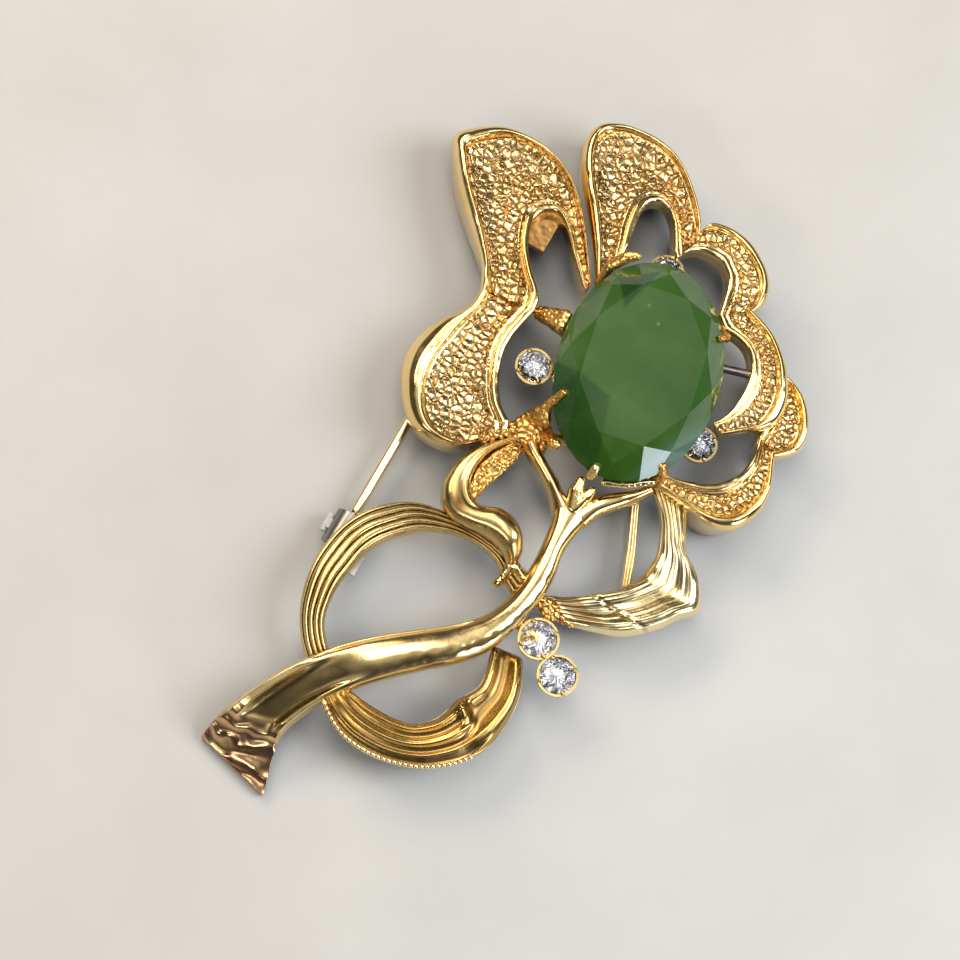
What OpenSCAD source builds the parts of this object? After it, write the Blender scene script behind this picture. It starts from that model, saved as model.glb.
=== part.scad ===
// Openwork flower brooch: a spray of folded petals round an oval faceted stone, on a branching stem
// with ribbon leaves, small round stones, and a hinged pin with a turning safety catch on its back.
// +Y runs along the brooch towards the flower, +Z points out of its front, and z = 0 is the table
// that it lies on. A row of a petal or ribbon table is one cross-section, from edge a to edge b.

/* [Centre stone] */
// Length of the oval stone
stone_length = 18; // [16:0.5:18.5]
// Width of the oval stone
stone_width = 13; // [11:0.5:13.5]
// Turn of the stone's long axis from +Y, in degrees
stone_turn = 12; // [5:1:15]
// Height of the stone's girdle above the table
girdle_z = 7.4; // [7:0.1:7.8]
// Height of the crown above the girdle
crown_h = 1.9; // [1.4:0.1:2.2]

/* [Petals] */
// Thickness of the cast petal walls
petal_wall = 0.8; // [0.6:0.1:0.9]
// Depth of the textured channel below its rims
channel_depth = 0.9; // [0.5:0.1:1.1]
// How far the inner wall reaches below the inner rim
inner_wall = 2; // [1.4:0.1:2.2]
// How much the outer skirt leans in, per millimetre of its height
skirt_lean = 0.12; // [0.05:0.01:0.16]

/* [Round stones] */
// Radius of the three round stones in the flower
flower_chaton_r = 1.2; // [1:0.05:1.25]
// Radius of the two round stones by the stem
stem_chaton_r = 1.35; // [1.1:0.05:1.4]
// Wall of the cups that hold them
cup_wall = 0.25; // [0.2:0.05:0.3]

/* [Pin and catch] */
// Radius of the pin wire
pin_r = 0.42; // [0.34:0.02:0.44]
// Distance of the pin from the brooch's middle line
pin_x = -9.45; // [-9.6:0.05:-9.3]
// Height of the pin above the table
pin_z = 1.9; // [1.85:0.05:1.95]
// Radius of the hinge rivet
rivet_r = 0.35; // [0.3:0.01:0.4]
// Radial clearance of the hinge and of the catch's turning sleeve
running_gap = 0.03; // [0.02:0.01:0.05]
// Radius of the sleeve that turns in the catch
sleeve_r = 0.85; // [0.8:0.01:0.88]

/* [Hidden] */
hinge_y = 19.5;
catch_y = -9.7;
pin_tip_y = -12.3;
stone_xy = [4.15, 11.85];
culet_z = 3.5;
fine = 48;
gold = [0.86, 0.68, 0.32];
pale_gold = [0.9, 0.78, 0.5];
green = [0.2, 0.5, 0.2];
crystal = [0.85, 0.88, 0.92];
steel = [0.8, 0.8, 0.8];

// Petal rows: edge a (outer) x, y, edge b (inner) x, y, lip width, rim height, skirt foot height.
petal_upper_left_rows = [
    [-9.7, 11.7, -5.2, 12.4, 0.3, 6, 3.3],
    [-10.6, 13.5, -5.5, 13.6, 0.4, 6, 3.3],
    [-12.2, 15.2, -6.6, 14.7, 0.8, 6, 2.4],
    [-14, 17, -7.7, 16, 1.1, 5.9, 1.4],
    [-15.8, 18.9, -8.4, 17.2, 1.2, 5.8, 0.8],
    [-17.2, 20.8, -8.8, 18.4, 1.2, 5.7, 0.5],
    [-17.8, 22.2, -8.8, 19.2, 1.2, 5.6, 0.4],
    [-16.5, 23.6, -8.6, 19.8, 0.9, 5.6, 0.4],
    [-14.8, 24.6, -8.2, 20.2, 0.6, 5.6, 0.5],
    [-12.8, 25, -7.8, 20.4, 0.5, 5.6, 0.8],
    [-10.6, 24.8, -7.2, 20.3, 0.4, 5.7, 1.2],
    [-8.6, 24, -6.5, 19.8, 0.4, 5.8, 1.6],
    [-6.9, 22.6, -5.6, 18.9, 0.3, 5.9, 2],
    [-5.4, 20.9, -4.7, 17.8, 0.3, 6, 2.4],
    [-4, 19, -3.8, 16.9, 0.3, 6, 3],
    [-2.9, 17.3, -3, 16.1, 0.2, 6, 3.6],
    [-2.4, 16.5, -2.6, 15.9, 0.1, 6, 4]
];
petal_left_rows = [
    [-4.3, 0.6, -2.6, 2.6, 0.4, 5.6, 2.6],
    [-5.4, -0.3, -2.4, 2.9, 0.6, 5.8, 2.6],
    [-7, -0.7, -2.5, 3.3, 0.8, 5.9, 2.8],
    [-8.6, -0.5, -2.7, 3.6, 0.9, 6, 3.3],
    [-10, 0.4, -3.1, 3.9, 1.1, 6, 3.3],
    [-11.2, 1.9, -3.7, 4.3, 1.4, 6, 3.3],
    [-12, 3.5, -4.3, 5, 1.7, 6, 1.3],
    [-12.3, 5.2, -4.9, 6, 1.9, 6, 0],
    [-12, 6.8, -5.4, 7.2, 1.8, 6, 1.2],
    [-11.3, 8.2, -5.7, 8.5, 1.3, 6, 3.3],
    [-10.4, 9.2, -5.7, 9.7, 0.7, 6, 3.3],
    [-9.8, 10.4, -5.5, 11, 0.4, 6, 3.3],
    [-9.7, 11.7, -5.2, 12.4, 0.3, 6, 3.3]
];
petal_top_rows = [
    [-2.2, 17, -1.6, 17.9, 0.2, 6, 3.8],
    [-3, 18.3, -1.4, 19.4, 0.3, 6, 3.2],
    [-4.2, 20.1, -1.4, 20.8, 0.5, 6, 2.6],
    [-5.6, 22, -1.6, 22.2, 0.7, 5.9, 2],
    [-7, 23.8, -1.8, 23.5, 0.8, 5.8, 1.4],
    [-8.1, 25.6, -1.8, 24.5, 0.8, 5.7, 0.8],
    [-8.6, 27.4, -1.5, 25.2, 0.7, 5.6, 0.3],
    [-8.2, 28.9, -1.1, 25.5, 0.5, 5.5, 0],
    [-6.9, 29.8, -0.7, 25.6, 0.4, 5.5, 0],
    [-5.3, 30.2, -0.3, 25.5, 0.4, 5.5, 0],
    [-3.5, 30.3, 0.1, 25.3, 0.4, 5.5, 0],
    [-1.8, 29.9, 0.5, 24.9, 0.4, 5.6, 0.3],
    [-0.3, 29, 0.9, 24.4, 0.4, 5.7, 0.8],
    [1.1, 27.8, 1.3, 23.7, 0.4, 5.8, 1.4],
    [2.2, 26.5, 1.7, 22.9, 0.3, 5.9, 2],
    [2.8, 25.6, 2, 22.3, 0.3, 6, 2.6],
    [3, 25, 2.4, 21.8, 0.3, 6, 3]
];
petal_upper_right_rows = [
    [3, 25, 2.4, 21.8, 0.3, 6, 3],
    [3.4, 26.1, 2.9, 22.8, 0.3, 6, 2.6],
    [4.4, 26.6, 3.6, 23.5, 0.4, 5.9, 2],
    [5.6, 26.7, 4.5, 23.8, 0.4, 5.8, 1.6],
    [6.9, 26.5, 5.4, 23.8, 0.5, 5.8, 1.4],
    [8.1, 25.9, 6.1, 23.4, 0.5, 5.8, 1.2],
    [9.3, 25, 6.7, 22.8, 0.5, 5.8, 1.4],
    [10.1, 23.8, 7, 22.1, 0.5, 5.8, 1.8],
    [10.3, 22.5, 7.2, 21.2, 0.5, 5.9, 2.4],
    [9.8, 21.4, 7.5, 19.6, 0.3, 6, 3.2]
];
petal_right_rows = [
    [9.8, 21.4, 7.5, 19.6, 0.3, 6, 3.2],
    [10.7, 21.2, 8.3, 18.9, 0.4, 6.1, 3],
    [11.8, 20.7, 9.1, 18.8, 0.4, 6.2, 2.6],
    [12.9, 20, 9.9, 18.7, 0.5, 6.2, 2.4],
    [14, 19, 10.7, 18.4, 0.6, 6.2, 2.6],
    [14.9, 17.8, 11.4, 17.7, 0.7, 6.2, 3],
    [15.6, 16.4, 11.9, 16.7, 0.8, 6.2, 3.6],
    [15.8, 15.1, 12.1, 15.6, 0.8, 6.2, 3.8],
    [15.5, 14, 12.1, 14.5, 0.6, 6.1, 3.8],
    [14.8, 13.2, 12, 13.5, 0.4, 6, 3.8],
    [14, 12.6, 11.8, 12.8, 0.3, 5.9, 3.8],
    [13.1, 11.9, 11.5, 12.2, 0.2, 5.8, 3.8],
    [12.3, 11.3, 11.2, 11.8, 0.1, 5.7, 3.8]
];
petal_far_right_rows = [
    [14.4, 18.9, 13.2, 17.4, 0.2, 4.2, 2.4],
    [15.7, 18.4, 13.8, 16.6, 0.3, 4.5, 1.6],
    [16.9, 17.5, 14.2, 15.9, 0.3, 4.8, 1],
    [17.9, 16.2, 14.5, 15.1, 0.4, 5, 0.6],
    [18.4, 14.9, 14.7, 14.3, 0.4, 5, 0.4],
    [18.4, 13.7, 14.8, 13.5, 0.5, 5, 0.6],
    [17.8, 12.8, 14.9, 12.8, 0.5, 5, 1.2],
    [17, 12.2, 15, 12.3, 0.3, 5, 2]
];
petal_lower_right_rows = [
    [16.8, 12.2, 15, 12.8, 0.3, 5.2, 2],
    [17.2, 11.2, 15.2, 11.8, 0.4, 5.4, 1.4],
    [17.6, 10.1, 15.3, 10.9, 0.4, 5.6, 0.8],
    [17.9, 8.9, 15.2, 10, 0.5, 5.7, 0.3],
    [17.9, 7.7, 14.9, 9.1, 0.6, 5.8, 0],
    [17.6, 6.6, 14.4, 8.3, 0.7, 5.8, 0],
    [16.9, 5.4, 13.8, 7.7, 0.8, 5.8, 0],
    [15.8, 4.7, 13, 7.2, 0.8, 5.8, 0],
    [14.5, 4.5, 12.1, 6.8, 0.7, 5.8, 0.4],
    [13.1, 4.8, 11.3, 6.5, 0.4, 5.8, 1.2],
    [11.8, 4.9, 10.6, 6.3, 0.3, 5.8, 2],
    [10.6, 5, 10, 6.2, 0.3, 5.8, 3],
    [9.5, 5.1, 9.4, 6, 0.2, 5.8, 3.6]
];

// Ribbon rows: edge a x, y, edge b x, y, crest height, edge height, underside height.
stem_rows = [
    [6.8, 0.9, 3.4, 0.6, 5.2, 4.4, 3.2],
    [6.3, -1, 4, -1, 5.3, 4.4, 3.2],
    [6.1, -3, 4.3, -3, 5.4, 4.4, 3.2],
    [6.4, -5, 4.4, -5, 5.5, 4.5, 3.2],
    [6.4, -7, 4.3, -7, 5.7, 4.6, 3.2],
    [6, -9.1, 3.9, -8.9, 5.9, 4.8, 3.4],
    [5.4, -11.2, 2.9, -10.8, 6.1, 5, 3.6],
    [4.6, -13, 1.2, -12.5, 6.2, 5, 3.8],
    [3.1, -14.8, -0.7, -14, 6.3, 5, 3.9],
    [1.3, -16.4, -2.6, -15.5, 6.3, 5, 3.9],
    [-0.3, -17.9, -4.4, -17.1, 6.2, 5, 3.8],
    [-1.8, -19.4, -6, -18.8, 6, 4.8, 3.5],
    [-3.1, -20.9, -7.4, -20.6, 5.6, 4.4, 3],
    [-4.2, -22.5, -8.6, -22.5, 5, 3.8, 2.4],
    [-5.1, -24.2, -9.6, -24.5, 4.4, 3.2, 1.6],
    [-5.6, -25.8, -10.3, -26.3, 3.8, 2.6, 0.8],
    [-5.4, -27.4, -10.7, -27.6, 2.6, 1.6, 0.2],
    [-4.6, -30.3, -10.9, -28.8, 1.1, 0.7, 0]
];
arm_left_rows = [
    [3.7, -0.6, 5, 0.9, 5.2, 4.4, 3.4],
    [3, 0.3, 3.9, 1.1, 5.2, 4.4, 3.4],
    [2.1, 1, 2.9, 1.8, 5.2, 4.5, 3.5],
    [1.1, 1.6, 1.8, 2.4, 5.3, 4.6, 3.6],
    [0.2, 2.1, 0.9, 3, 5.4, 4.7, 3.7],
    [-0.7, 2.7, 0.1, 3.6, 5.5, 4.8, 3.8]
];
arm_right_rows = [
    [4.9, 0.6, 6.6, -0.4, 5.2, 4.4, 3.4],
    [5.6, 1.5, 7.1, 0.9, 5.3, 4.5, 3.4],
    [6.4, 2.5, 7.8, 1.8, 5.4, 4.6, 3.5],
    [7.3, 3.2, 8.6, 2.7, 5.4, 4.6, 3.6],
    [8.3, 3.9, 9.3, 3.6, 5.5, 4.7, 3.7],
    [9.2, 4.8, 9.9, 4.5, 5.6, 4.8, 3.8]
];
scroll_rows = [
    [-1.2, 2.9, -2.1, 2.9, 5, 4.4, 3.6],
    [-2, 2.1, -3, 1.8, 5.3, 4.6, 3.4],
    [-2.7, 1, -3.9, 0.5, 5.5, 4.8, 3.2],
    [-3, -0.2, -4.5, -0.8, 5.6, 4.8, 3.2],
    [-3, -1.3, -4.7, -2.1, 5.6, 4.8, 3.2],
    [-2.7, -2.2, -4.6, -3.3, 5.7, 4.8, 3.2],
    [-2.1, -2.9, -4, -4.4, 5.8, 4.8, 3.4],
    [-1.4, -3.1, -2.9, -5.1, 5.9, 4.8, 3.6],
    [-0.6, -2.9, -1.5, -5.2, 6.1, 4.9, 3.8],
    [0.3, -2.6, -0.2, -5.1, 6.4, 5, 4],
    [1.5, -2.8, 1, -5.2, 6.6, 5, 4],
    [2.6, -3.5, 1.9, -5.5, 6.4, 4.8, 3.8],
    [3.3, -4.6, 2.5, -5.9, 5.6, 4.4, 3.6],
    [3.4, -5.8, 2.8, -6.3, 4.8, 4, 3.4]
];
scroll_lining_rows = [
    [-0.4, 2.9, -1.5, 3, 4, 3.7, 2.9],
    [-0.6, 1.7, -2.4, 1.8, 4, 3.7, 2.9],
    [-1, 0.4, -3, 0.4, 4, 3.7, 2.9],
    [-1.5, -1.1, -3.1, -1.1, 4, 3.7, 2.9],
    [-1.8, -2.6, -2.8, -2.6, 4, 3.7, 2.9]
];
loop_upper_rows = [
    [4.5, -8, 4.7, -5.6, 4.3, 3.9, 3.1],
    [3.2, -7.2, 3.4, -5.4, 4.2, 3.8, 3.1],
    [2, -6.2, 2.2, -5.1, 4.2, 3.8, 3.1],
    [0.8, -5.8, 0.8, -4.8, 4.2, 3.8, 3.1],
    [-0.5, -5.7, -0.8, -4.7, 4.2, 3.8, 3.1],
    [-1.8, -5.9, -2.6, -4.7, 4.3, 3.9, 3.1],
    [-3, -6.4, -4.3, -4.9, 4.5, 4, 3.2],
    [-4.2, -7.1, -5.9, -5.4, 4.7, 4.1, 3.2],
    [-5.4, -8.2, -7.4, -6.4, 4.8, 4.2, 3.2],
    [-6.4, -9.4, -8.7, -7.8, 4.9, 4.2, 3.2],
    [-7.1, -10.9, -9.6, -9.5, 4.9, 4.2, 3.2],
    [-7.4, -12.5, -10.1, -11.4, 4.9, 4.2, 3.2],
    [-7.6, -14.1, -10.2, -13.3, 4.9, 4.2, 3.2],
    [-7.5, -15.6, -9.9, -15.2, 4.8, 4.1, 3.2],
    [-7.1, -17, -9.2, -17.1, 4.6, 4, 3.1],
    [-6.2, -18.2, -8.1, -18.8, 4.3, 3.8, 3],
    [-5, -19.2, -6.8, -20.1, 4, 3.6, 2.9]
];
loop_lower_rows = [
    [-4, -19.9, -5, -21.4, 4, 3.6, 2.6],
    [-3, -20.4, -4.1, -22.4, 4.3, 3.8, 2.6],
    [-1.9, -20.6, -3, -23.2, 4.5, 4, 2.7],
    [-0.8, -20.7, -1.6, -23.8, 4.6, 4, 2.8],
    [0.4, -20.7, 0, -24, 4.6, 4, 2.8],
    [1.5, -20.6, 1.7, -23.9, 4.6, 4, 2.8],
    [2.5, -20.3, 3.3, -23.5, 4.6, 4, 2.8],
    [3.3, -19.7, 4.8, -22.9, 4.7, 4, 2.8],
    [3.9, -19, 6.1, -22, 4.8, 4, 2.8],
    [4.2, -18.3, 7.2, -21, 4.9, 4.1, 2.8],
    [4.4, -17.6, 8, -19.8, 5, 4.2, 2.9],
    [4.6, -16.9, 8.5, -18.4, 5, 4.2, 3],
    [5, -16.3, 8.7, -16.9, 5, 4.2, 3],
    [5.5, -15.3, 8.7, -15.3, 4.9, 4.2, 3],
    [5.4, -14, 8.4, -13.9, 4.8, 4.1, 3],
    [5.1, -12.9, 7.9, -12.7, 4.6, 4, 3],
    [4.9, -11.9, 7.3, -11.6, 4.4, 3.9, 3]
];
leaf_right_rows = [
    [12.8, 5.2, 9.5, 5.2, 4.4, 4, 3],
    [13.4, 3.9, 10.6, 4.3, 4.6, 4.1, 3],
    [14, 2.7, 11.5, 3.2, 4.8, 4.2, 3],
    [14.6, 1.8, 12.1, 2, 4.9, 4.2, 3],
    [15.7, 1.2, 12.5, 0.8, 4.9, 3.9, 2.9],
    [16.8, 0.2, 12.5, -0.3, 4.9, 3.6, 2.6],
    [17.6, -1.5, 12.3, -1.3, 4.8, 3.2, 2.2],
    [16.5, -2.8, 11.8, -2.3, 4.8, 3.6, 2.6],
    [15.7, -4, 11, -3.3, 4.8, 3.8, 2.8],
    [14.6, -5.2, 10, -4.2, 4.7, 3.9, 2.9],
    [13.2, -6.3, 8.9, -5.1, 4.6, 3.9, 3],
    [11.3, -7, 7.8, -5.9, 4.4, 3.8, 3],
    [9.6, -7.5, 6.1, -6.6, 4.2, 3.8, 3]
];
leaf_brace_rows = [
    [9.4, 4.2, 8.7, 3.9, 2.9, 2.6, 2],
    [10.4, 2, 9.6, 1.8, 2.8, 2.5, 1.8],
    [11.4, -0.3, 10.5, -0.4, 2.8, 2.5, 1.8],
    [12, -2.4, 11.2, -2.4, 3.2, 2.9, 2.2],
    [12.2, -3.6, 11.4, -3.7, 3.6, 3.3, 2.6]
];

// Claws: spheres [x, y, z, radius] whose hull is the claw, from its root to its tip.
claws = [
    [[-5, 12.7, 5.1, 0.6], [-2.9, 13, 7, 0.45], [-2.9, 11.9, 6.9, 0.45], [-1.4, 12.2, 4.9, 0.4]],
    [[-1.4, 5, 5.3, 0.5], [-0.2, 4.9, 6.2, 0.45], [-0.1, 7, 8.2, 0.25]],
    [[0.3, 4.4, 5.2, 0.4], [1.3, 3.5, 6.9, 0.5]],
    [[-2, 17, 5.6, 0.3], [-1.7, 18.6, 6.8, 0.35], [-0.4, 19.7, 8, 0.3]],
    [[8, 18.8, 5.6, 0.4], [8.8, 17.9, 6.9, 0.4], [8.4, 17.2, 8.1, 0.25]],
    [[9.8, 5.5, 5.4, 0.4], [9.6, 5.8, 6.9, 0.4], [9, 6.3, 8.1, 0.25]],
    [[4.9, 3.2, 5.2, 0.3], [4.9, 2.7, 7, 0.3], [4.9, 3.7, 8.1, 0.22]]
];
claw_names = ["left", "lower_left", "ball", "upper_left", "upper_right", "lower_right", "bottom"];

// Round stones: x, y, height of the girdle.
chatons = [[-3.1, 8.7, 4.7], [2.3, 20.7, 5.2], [11.1, 9.8, 5.2], [7.65, -9.9, 4.6], [10.3, -11.6, 4.4]];
chaton_names = ["left", "top", "right", "stem_upper", "stem_lower"];
function chaton_r(i) = i < 3 ? flower_chaton_r : stem_chaton_r;
// Posts that carry the cups and tie the setting to the petals: two ends and a radius.
posts = [
    [[-3.1, 8.7, 3.3], [-0.2, 9.4, 4.6], 0.4],
    [[2.3, 20.9, 3.8], [2.6, 18.9, 4.7], 0.4],
    [[11, 9.9, 3.8], [9, 10.3, 4.7], 0.4],
    [[9, 16, 4.9], [12, 16.9, 5.1], 0.35],
    [[0, 4.3, 4.7], [3, 5, 4.7], 0.4],
    [[9.9, 5.4, 5.1], [8, 6.1, 4.7], 0.4]
];
post_names = ["left", "top", "right", "side", "root", "foot"];

// A point of the smooth curve through four neighbouring rows, t from b to c.
function between(a, b, c, d, t) =
    b + t * (c - a) / 2 + t * t * (2 * a - 5 * b + 4 * c - d) / 2 + t * t * t * (3 * b - a - 3 * c + d) / 2;
function row_at(rows, u) =
    let (last = len(rows) - 1, i = min(floor(u), last - 1))
    between(rows[max(i - 1, 0)], rows[i], rows[i + 1], rows[min(i + 2, last)], u - i);
function smooth(rows, steps) = [for (k = [0 : steps]) row_at(rows, k * (len(rows) - 1) / steps)];
function reversed(list) = [for (i = [len(list) - 1 : -1 : 0]) list[i]];

// Places section points [distance from edge a, height] on the line from edge a to edge b.
function placed(row, section) =
    let (a = [row[0], row[1]], b = [row[2], row[3]], along = (b - a) / norm(b - a))
    [for (q = section) let (p = a + along * q.x) [p.x, p.y, q.y]];

// One ring of a petal: its top from the skirt's foot over lip, channel and inner rim, then its underside.
function petal_ring(row) =
    let (w = norm([row[2] - row[0], row[3] - row[1]]), k = min(1, w / 4), t = min(petal_wall, 0.3 * w),
        lip = min(row[4], 0.4 * w), rim = row[5], foot = row[6], lip_z = rim - 0.35 - lip,
        lean = skirt_lean * (lip_z - foot), floor_z = rim - channel_depth * k, under = floor_z - t,
        top = [[lean, foot], [0, lip_z], [lip, rim], [lip + 0.4 * k, rim - 0.15 * k], [0.4 * w, floor_z],
            [0.7 * w, floor_z], [w - 0.45 * k, rim - 0.2 * k], [w, rim - 0.15], [w, rim - inner_wall]],
        n = len(top) - 1,
        below = [for (j = [0 : n]) [t + (w - 2 * t) * top[j].x / w,
            j == 0 ? foot : j == n ? rim - inner_wall : j == 1 ? min(under, lip_z - 0.2) : under]])
    placed(row, concat(top, reversed(below)));

// One ring of a ribbon: a rounded top between two upright edges, over a flat underside.
function ribbon_ring(row) =
    let (w = norm([row[2] - row[0], row[3] - row[1]]), across = [0, 0.1, 0.28, 0.5, 0.72, 0.9, 1],
        top = [for (s = across) [s * w, row[5] + (row[4] - row[5]) * sqrt(1 - pow(2 * s - 1, 2))]],
        below = [for (s = across) [s * w, row[6]]])
    placed(row, concat(top, reversed(below)));

// Joins rings into a closed solid; each ring is a top run of points and its underside back again.
module loft(rings) {
    m = len(rings[0]);
    last = len(rings) - 1;
    half = m / 2 - 1;
    sides = [for (i = [0 : last - 1], j = [0 : m - 1])
        let (k = (j + 1) % m, p = i * m + j, q = i * m + k)
        each [[p, p + m, q], [q, p + m, q + m]]];
    caps = [for (j = [0 : half - 1])
        let (o = m - 1 - j, e = last * m)
        each [[j, j + 1, o], [j + 1, o - 1, o], [e + j, e + o, e + j + 1], [e + j + 1, e + o, e + o - 1]]];
    polyhedron(points = [for (r = rings) each r], faces = concat(sides, caps), convexity = 8);
}
module petal(rows) {
    color(gold) loft([for (r = smooth(rows, 2 * (len(rows) - 1))) petal_ring(r)]);
}
module ribbon(rows) {
    color(gold) loft([for (r = smooth(rows, 2 * (len(rows) - 1))) ribbon_ring(r)]);
}

// A faceted stone of unit girdle radius scaled to half_x, half_y: table, kites, stars and girdle facets.
module faceted_stone(half_x, half_y, girdle, crown, pavilion, table) {
    mid = (1 + table) / 2;
    mid_z = girdle + crown * (1 - (mid * cos(22.5) - table) / (1 - table));
    function spot(r, a, z) = [half_x * r * cos(a), half_y * r * sin(a), z];
    band = 0.06 * half_x;
    points = concat([for (i = [0 : 7]) spot(table, 45 * i + 22.5, girdle + crown)],
        [for (i = [0 : 7]) spot(mid, 45 * i + 45, mid_z)],
        [for (j = [0 : 15]) spot(1, 22.5 * j, girdle)],
        [for (j = [0 : 15]) spot(1, 22.5 * j, girdle - band)], [[0, 0, girdle - pavilion]]);
    function table_at(i) = i % 8;
    function mid_at(i) = 8 + (i + 8) % 8;
    function top_at(j) = 16 + j % 16;
    function low_at(j) = 32 + j % 16;
    faces = concat([[for (i = [7 : -1 : 0]) i]],
        [for (i = [0 : 7]) [table_at(i), table_at(i + 1), mid_at(i)]],
        [for (i = [0 : 7]) each [[table_at(i), mid_at(i), top_at(2 * i + 1)],
            [table_at(i), top_at(2 * i + 1), mid_at(i - 1)]]],
        [for (i = [0 : 7]) each [[mid_at(i), top_at(2 * i + 2), top_at(2 * i + 1)],
            [mid_at(i), top_at(2 * i + 3), top_at(2 * i + 2)]]],
        [for (j = [0 : 15]) each [[top_at(j), top_at(j + 1), low_at(j)],
            [top_at(j + 1), low_at(j + 1), low_at(j)], [low_at(j), low_at(j + 1), 48]]]);
    polyhedron(points = points, faces = faces, convexity = 2);
}

module centre_stone() {
    color(green) translate([stone_xy.x, stone_xy.y, 0]) rotate(stone_turn)
        faceted_stone(stone_width / 2, stone_length / 2, girdle_z, crown_h, girdle_z - culet_z, 0.74);
}
module chaton(i) {
    c = chatons[i];
    color(crystal) translate([c.x, c.y, 0]) faceted_stone(chaton_r(i), chaton_r(i), c.z, 0.45, 1, 0.6);
}

// A turned cup open at the top, with four grains over the edge of its stone.
module cup(i) {
    c = chatons[i];
    depth = 1.5;
    seat_r = chaton_r(i) + 0.03;
    cup_r = seat_r + cup_wall;
    color(pale_gold) translate([c.x, c.y, c.z]) {
        rotate_extrude($fn = fine)
            polygon([[0, -depth], [0.8, -depth], [cup_r, -0.3], [cup_r, 0.1], [seat_r, 0.1], [seat_r, -0.2],
                [0.6, -1.15], [0, -1.15]]);
        for (a = [45 : 90 : 315]) rotate(a) translate([seat_r + 0.02, 0, 0.1]) sphere(0.22, $fn = 16);
    }
}

// A round bar between two points, set a little into the solids at its ends.
module bar(a, b, r) {
    v = b - a;
    translate(a) rotate([0, acos(v.z / norm(v)), atan2(v.y, v.x)]) cylinder(r = r, h = norm(v), $fn = fine);
}
module post(i) {
    color(i == 3 ? steel : gold) bar(posts[i][0], posts[i][1], posts[i][2]);
}
module post_stem() {
    color(gold) {
        bar([4.9, -9.2, 4], [7.6, -9.9, 3.5], 0.5);
        bar([7.6, -9.9, 3.5], [10.2, -11.7, 3.3], 0.4);
    }
}

module rounded(spheres) {
    hull() for (s = spheres) translate([s.x, s.y, s.z]) sphere(s[3], $fn = 16);
}
module claw(i) {
    color(gold) rounded(claws[i]);
}
module setting_root() {
    color(gold)
        rounded([[-2.3, 3, 4.6, 0.5], [-1.6, 4.6, 4.8, 0.5], [0.2, 4.8, 4.8, 0.5], [0.6, 3.3, 4.6, 0.5]]);
}
module gallery_strip() {
    color(pale_gold) rounded([[6.1, 3.2, 5.6, 0.35], [7.7, 3.9, 5.7, 0.35], [9.3, 5.1, 5.8, 0.35]]);
}
module bud() {
    color(gold) {
        rounded([[4.8, 0.9, 5, 0.45], [4.2, 2, 5.4, 0.35], [4.6, 2.9, 5.8, 0.25]]);
        rounded([[5.3, 0.9, 5, 0.4], [5.7, 1.8, 5.3, 0.3], [5.3, 2.7, 5.6, 0.22]]);
    }
}
module tendril() {
    color(gold) {
        rounded([[3.1, -6, 4.4, 0.5], [3, -6.8, 4.2, 0.45], [2.8, -7.6, 3.8, 0.4]]);
        rounded([[3.3, -5.7, 4.4, 0.35], [4.1, -6.2, 4.6, 0.35], [4.7, -6.5, 4.6, 0.3]]);
    }
}
module leaf_calyx() {
    color(gold) {
        rounded([[6.2, -7, 4, 0.5], [7.6, -7.1, 4, 0.6], [7.5, -7.8, 3.9, 0.5]]);
        rounded([[7.9, -7.4, 3.9, 0.4], [9.4, -7.5, 3.7, 0.25]]);
    }
}

// The oval frame under the stone, with its bearer bars.
module oval(scale_by, points = 48) {
    polygon([for (k = [0 : points - 1]) let (a = 360 * k / points)
        [stone_width / 2 * scale_by * cos(a), stone_length / 2 * scale_by * sin(a)]]);
}
module setting_basket() {
    frame_z = 4.3;
    color(gold) translate([stone_xy.x, stone_xy.y, frame_z]) rotate(stone_turn)
        linear_extrude(0.8) difference() {
            oval(0.88);
            oval(0.72);
        }
}

// Grains along the lower loop's outer edge.
module milgrain_beads() {
    grains = 30;
    color(pale_gold) for (k = [0 : grains - 1]) {
        row = row_at(loop_lower_rows, 1 + 8.6 * k / (grains - 1));
        translate([row[2], row[3], row[5] - 0.15]) sphere(0.2, $fn = 16);
    }
}

// The hinge: a plate under the upper left petal, two ears, a rivet and the pin's knuckle.
knuckle_r = 0.9;
knuckle_w = 1.3;
ear_gap = 0.06;
ear_w = 0.5;
module hinge_plate() {
    plate_low = 3.4;
    color(pale_gold) {
        translate([-12, hinge_y - 2, plate_low]) cube([5, 4, 0.7]);
        for (side = [-1, 1]) difference() {
            translate([pin_x + side * (knuckle_w / 2 + ear_gap + ear_w / 2), hinge_y, 0]) {
                translate([-ear_w / 2, -knuckle_r, pin_z]) cube([ear_w, 2 * knuckle_r, plate_low - pin_z]);
                translate([-ear_w / 2, 0, pin_z]) rotate([0, 90, 0])
                    cylinder(r = knuckle_r, h = ear_w, $fn = fine);
            }
            translate([pin_x - 3, hinge_y, pin_z]) rotate([0, 90, 0])
                cylinder(r = rivet_r, h = 6, $fn = fine);
        }
    }
}
module hinge_rivet() {
    half = knuckle_w / 2 + ear_gap + ear_w;
    head = 0.25;
    color(steel) translate([pin_x, hinge_y, pin_z]) rotate([0, 90, 0]) {
        translate([0, 0, -half - head]) cylinder(r = rivet_r, h = 2 * (half + head), $fn = fine);
        for (low = [-half - head, half]) translate([0, 0, low]) cylinder(r = 0.6, h = head, $fn = fine);
    }
}
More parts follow.
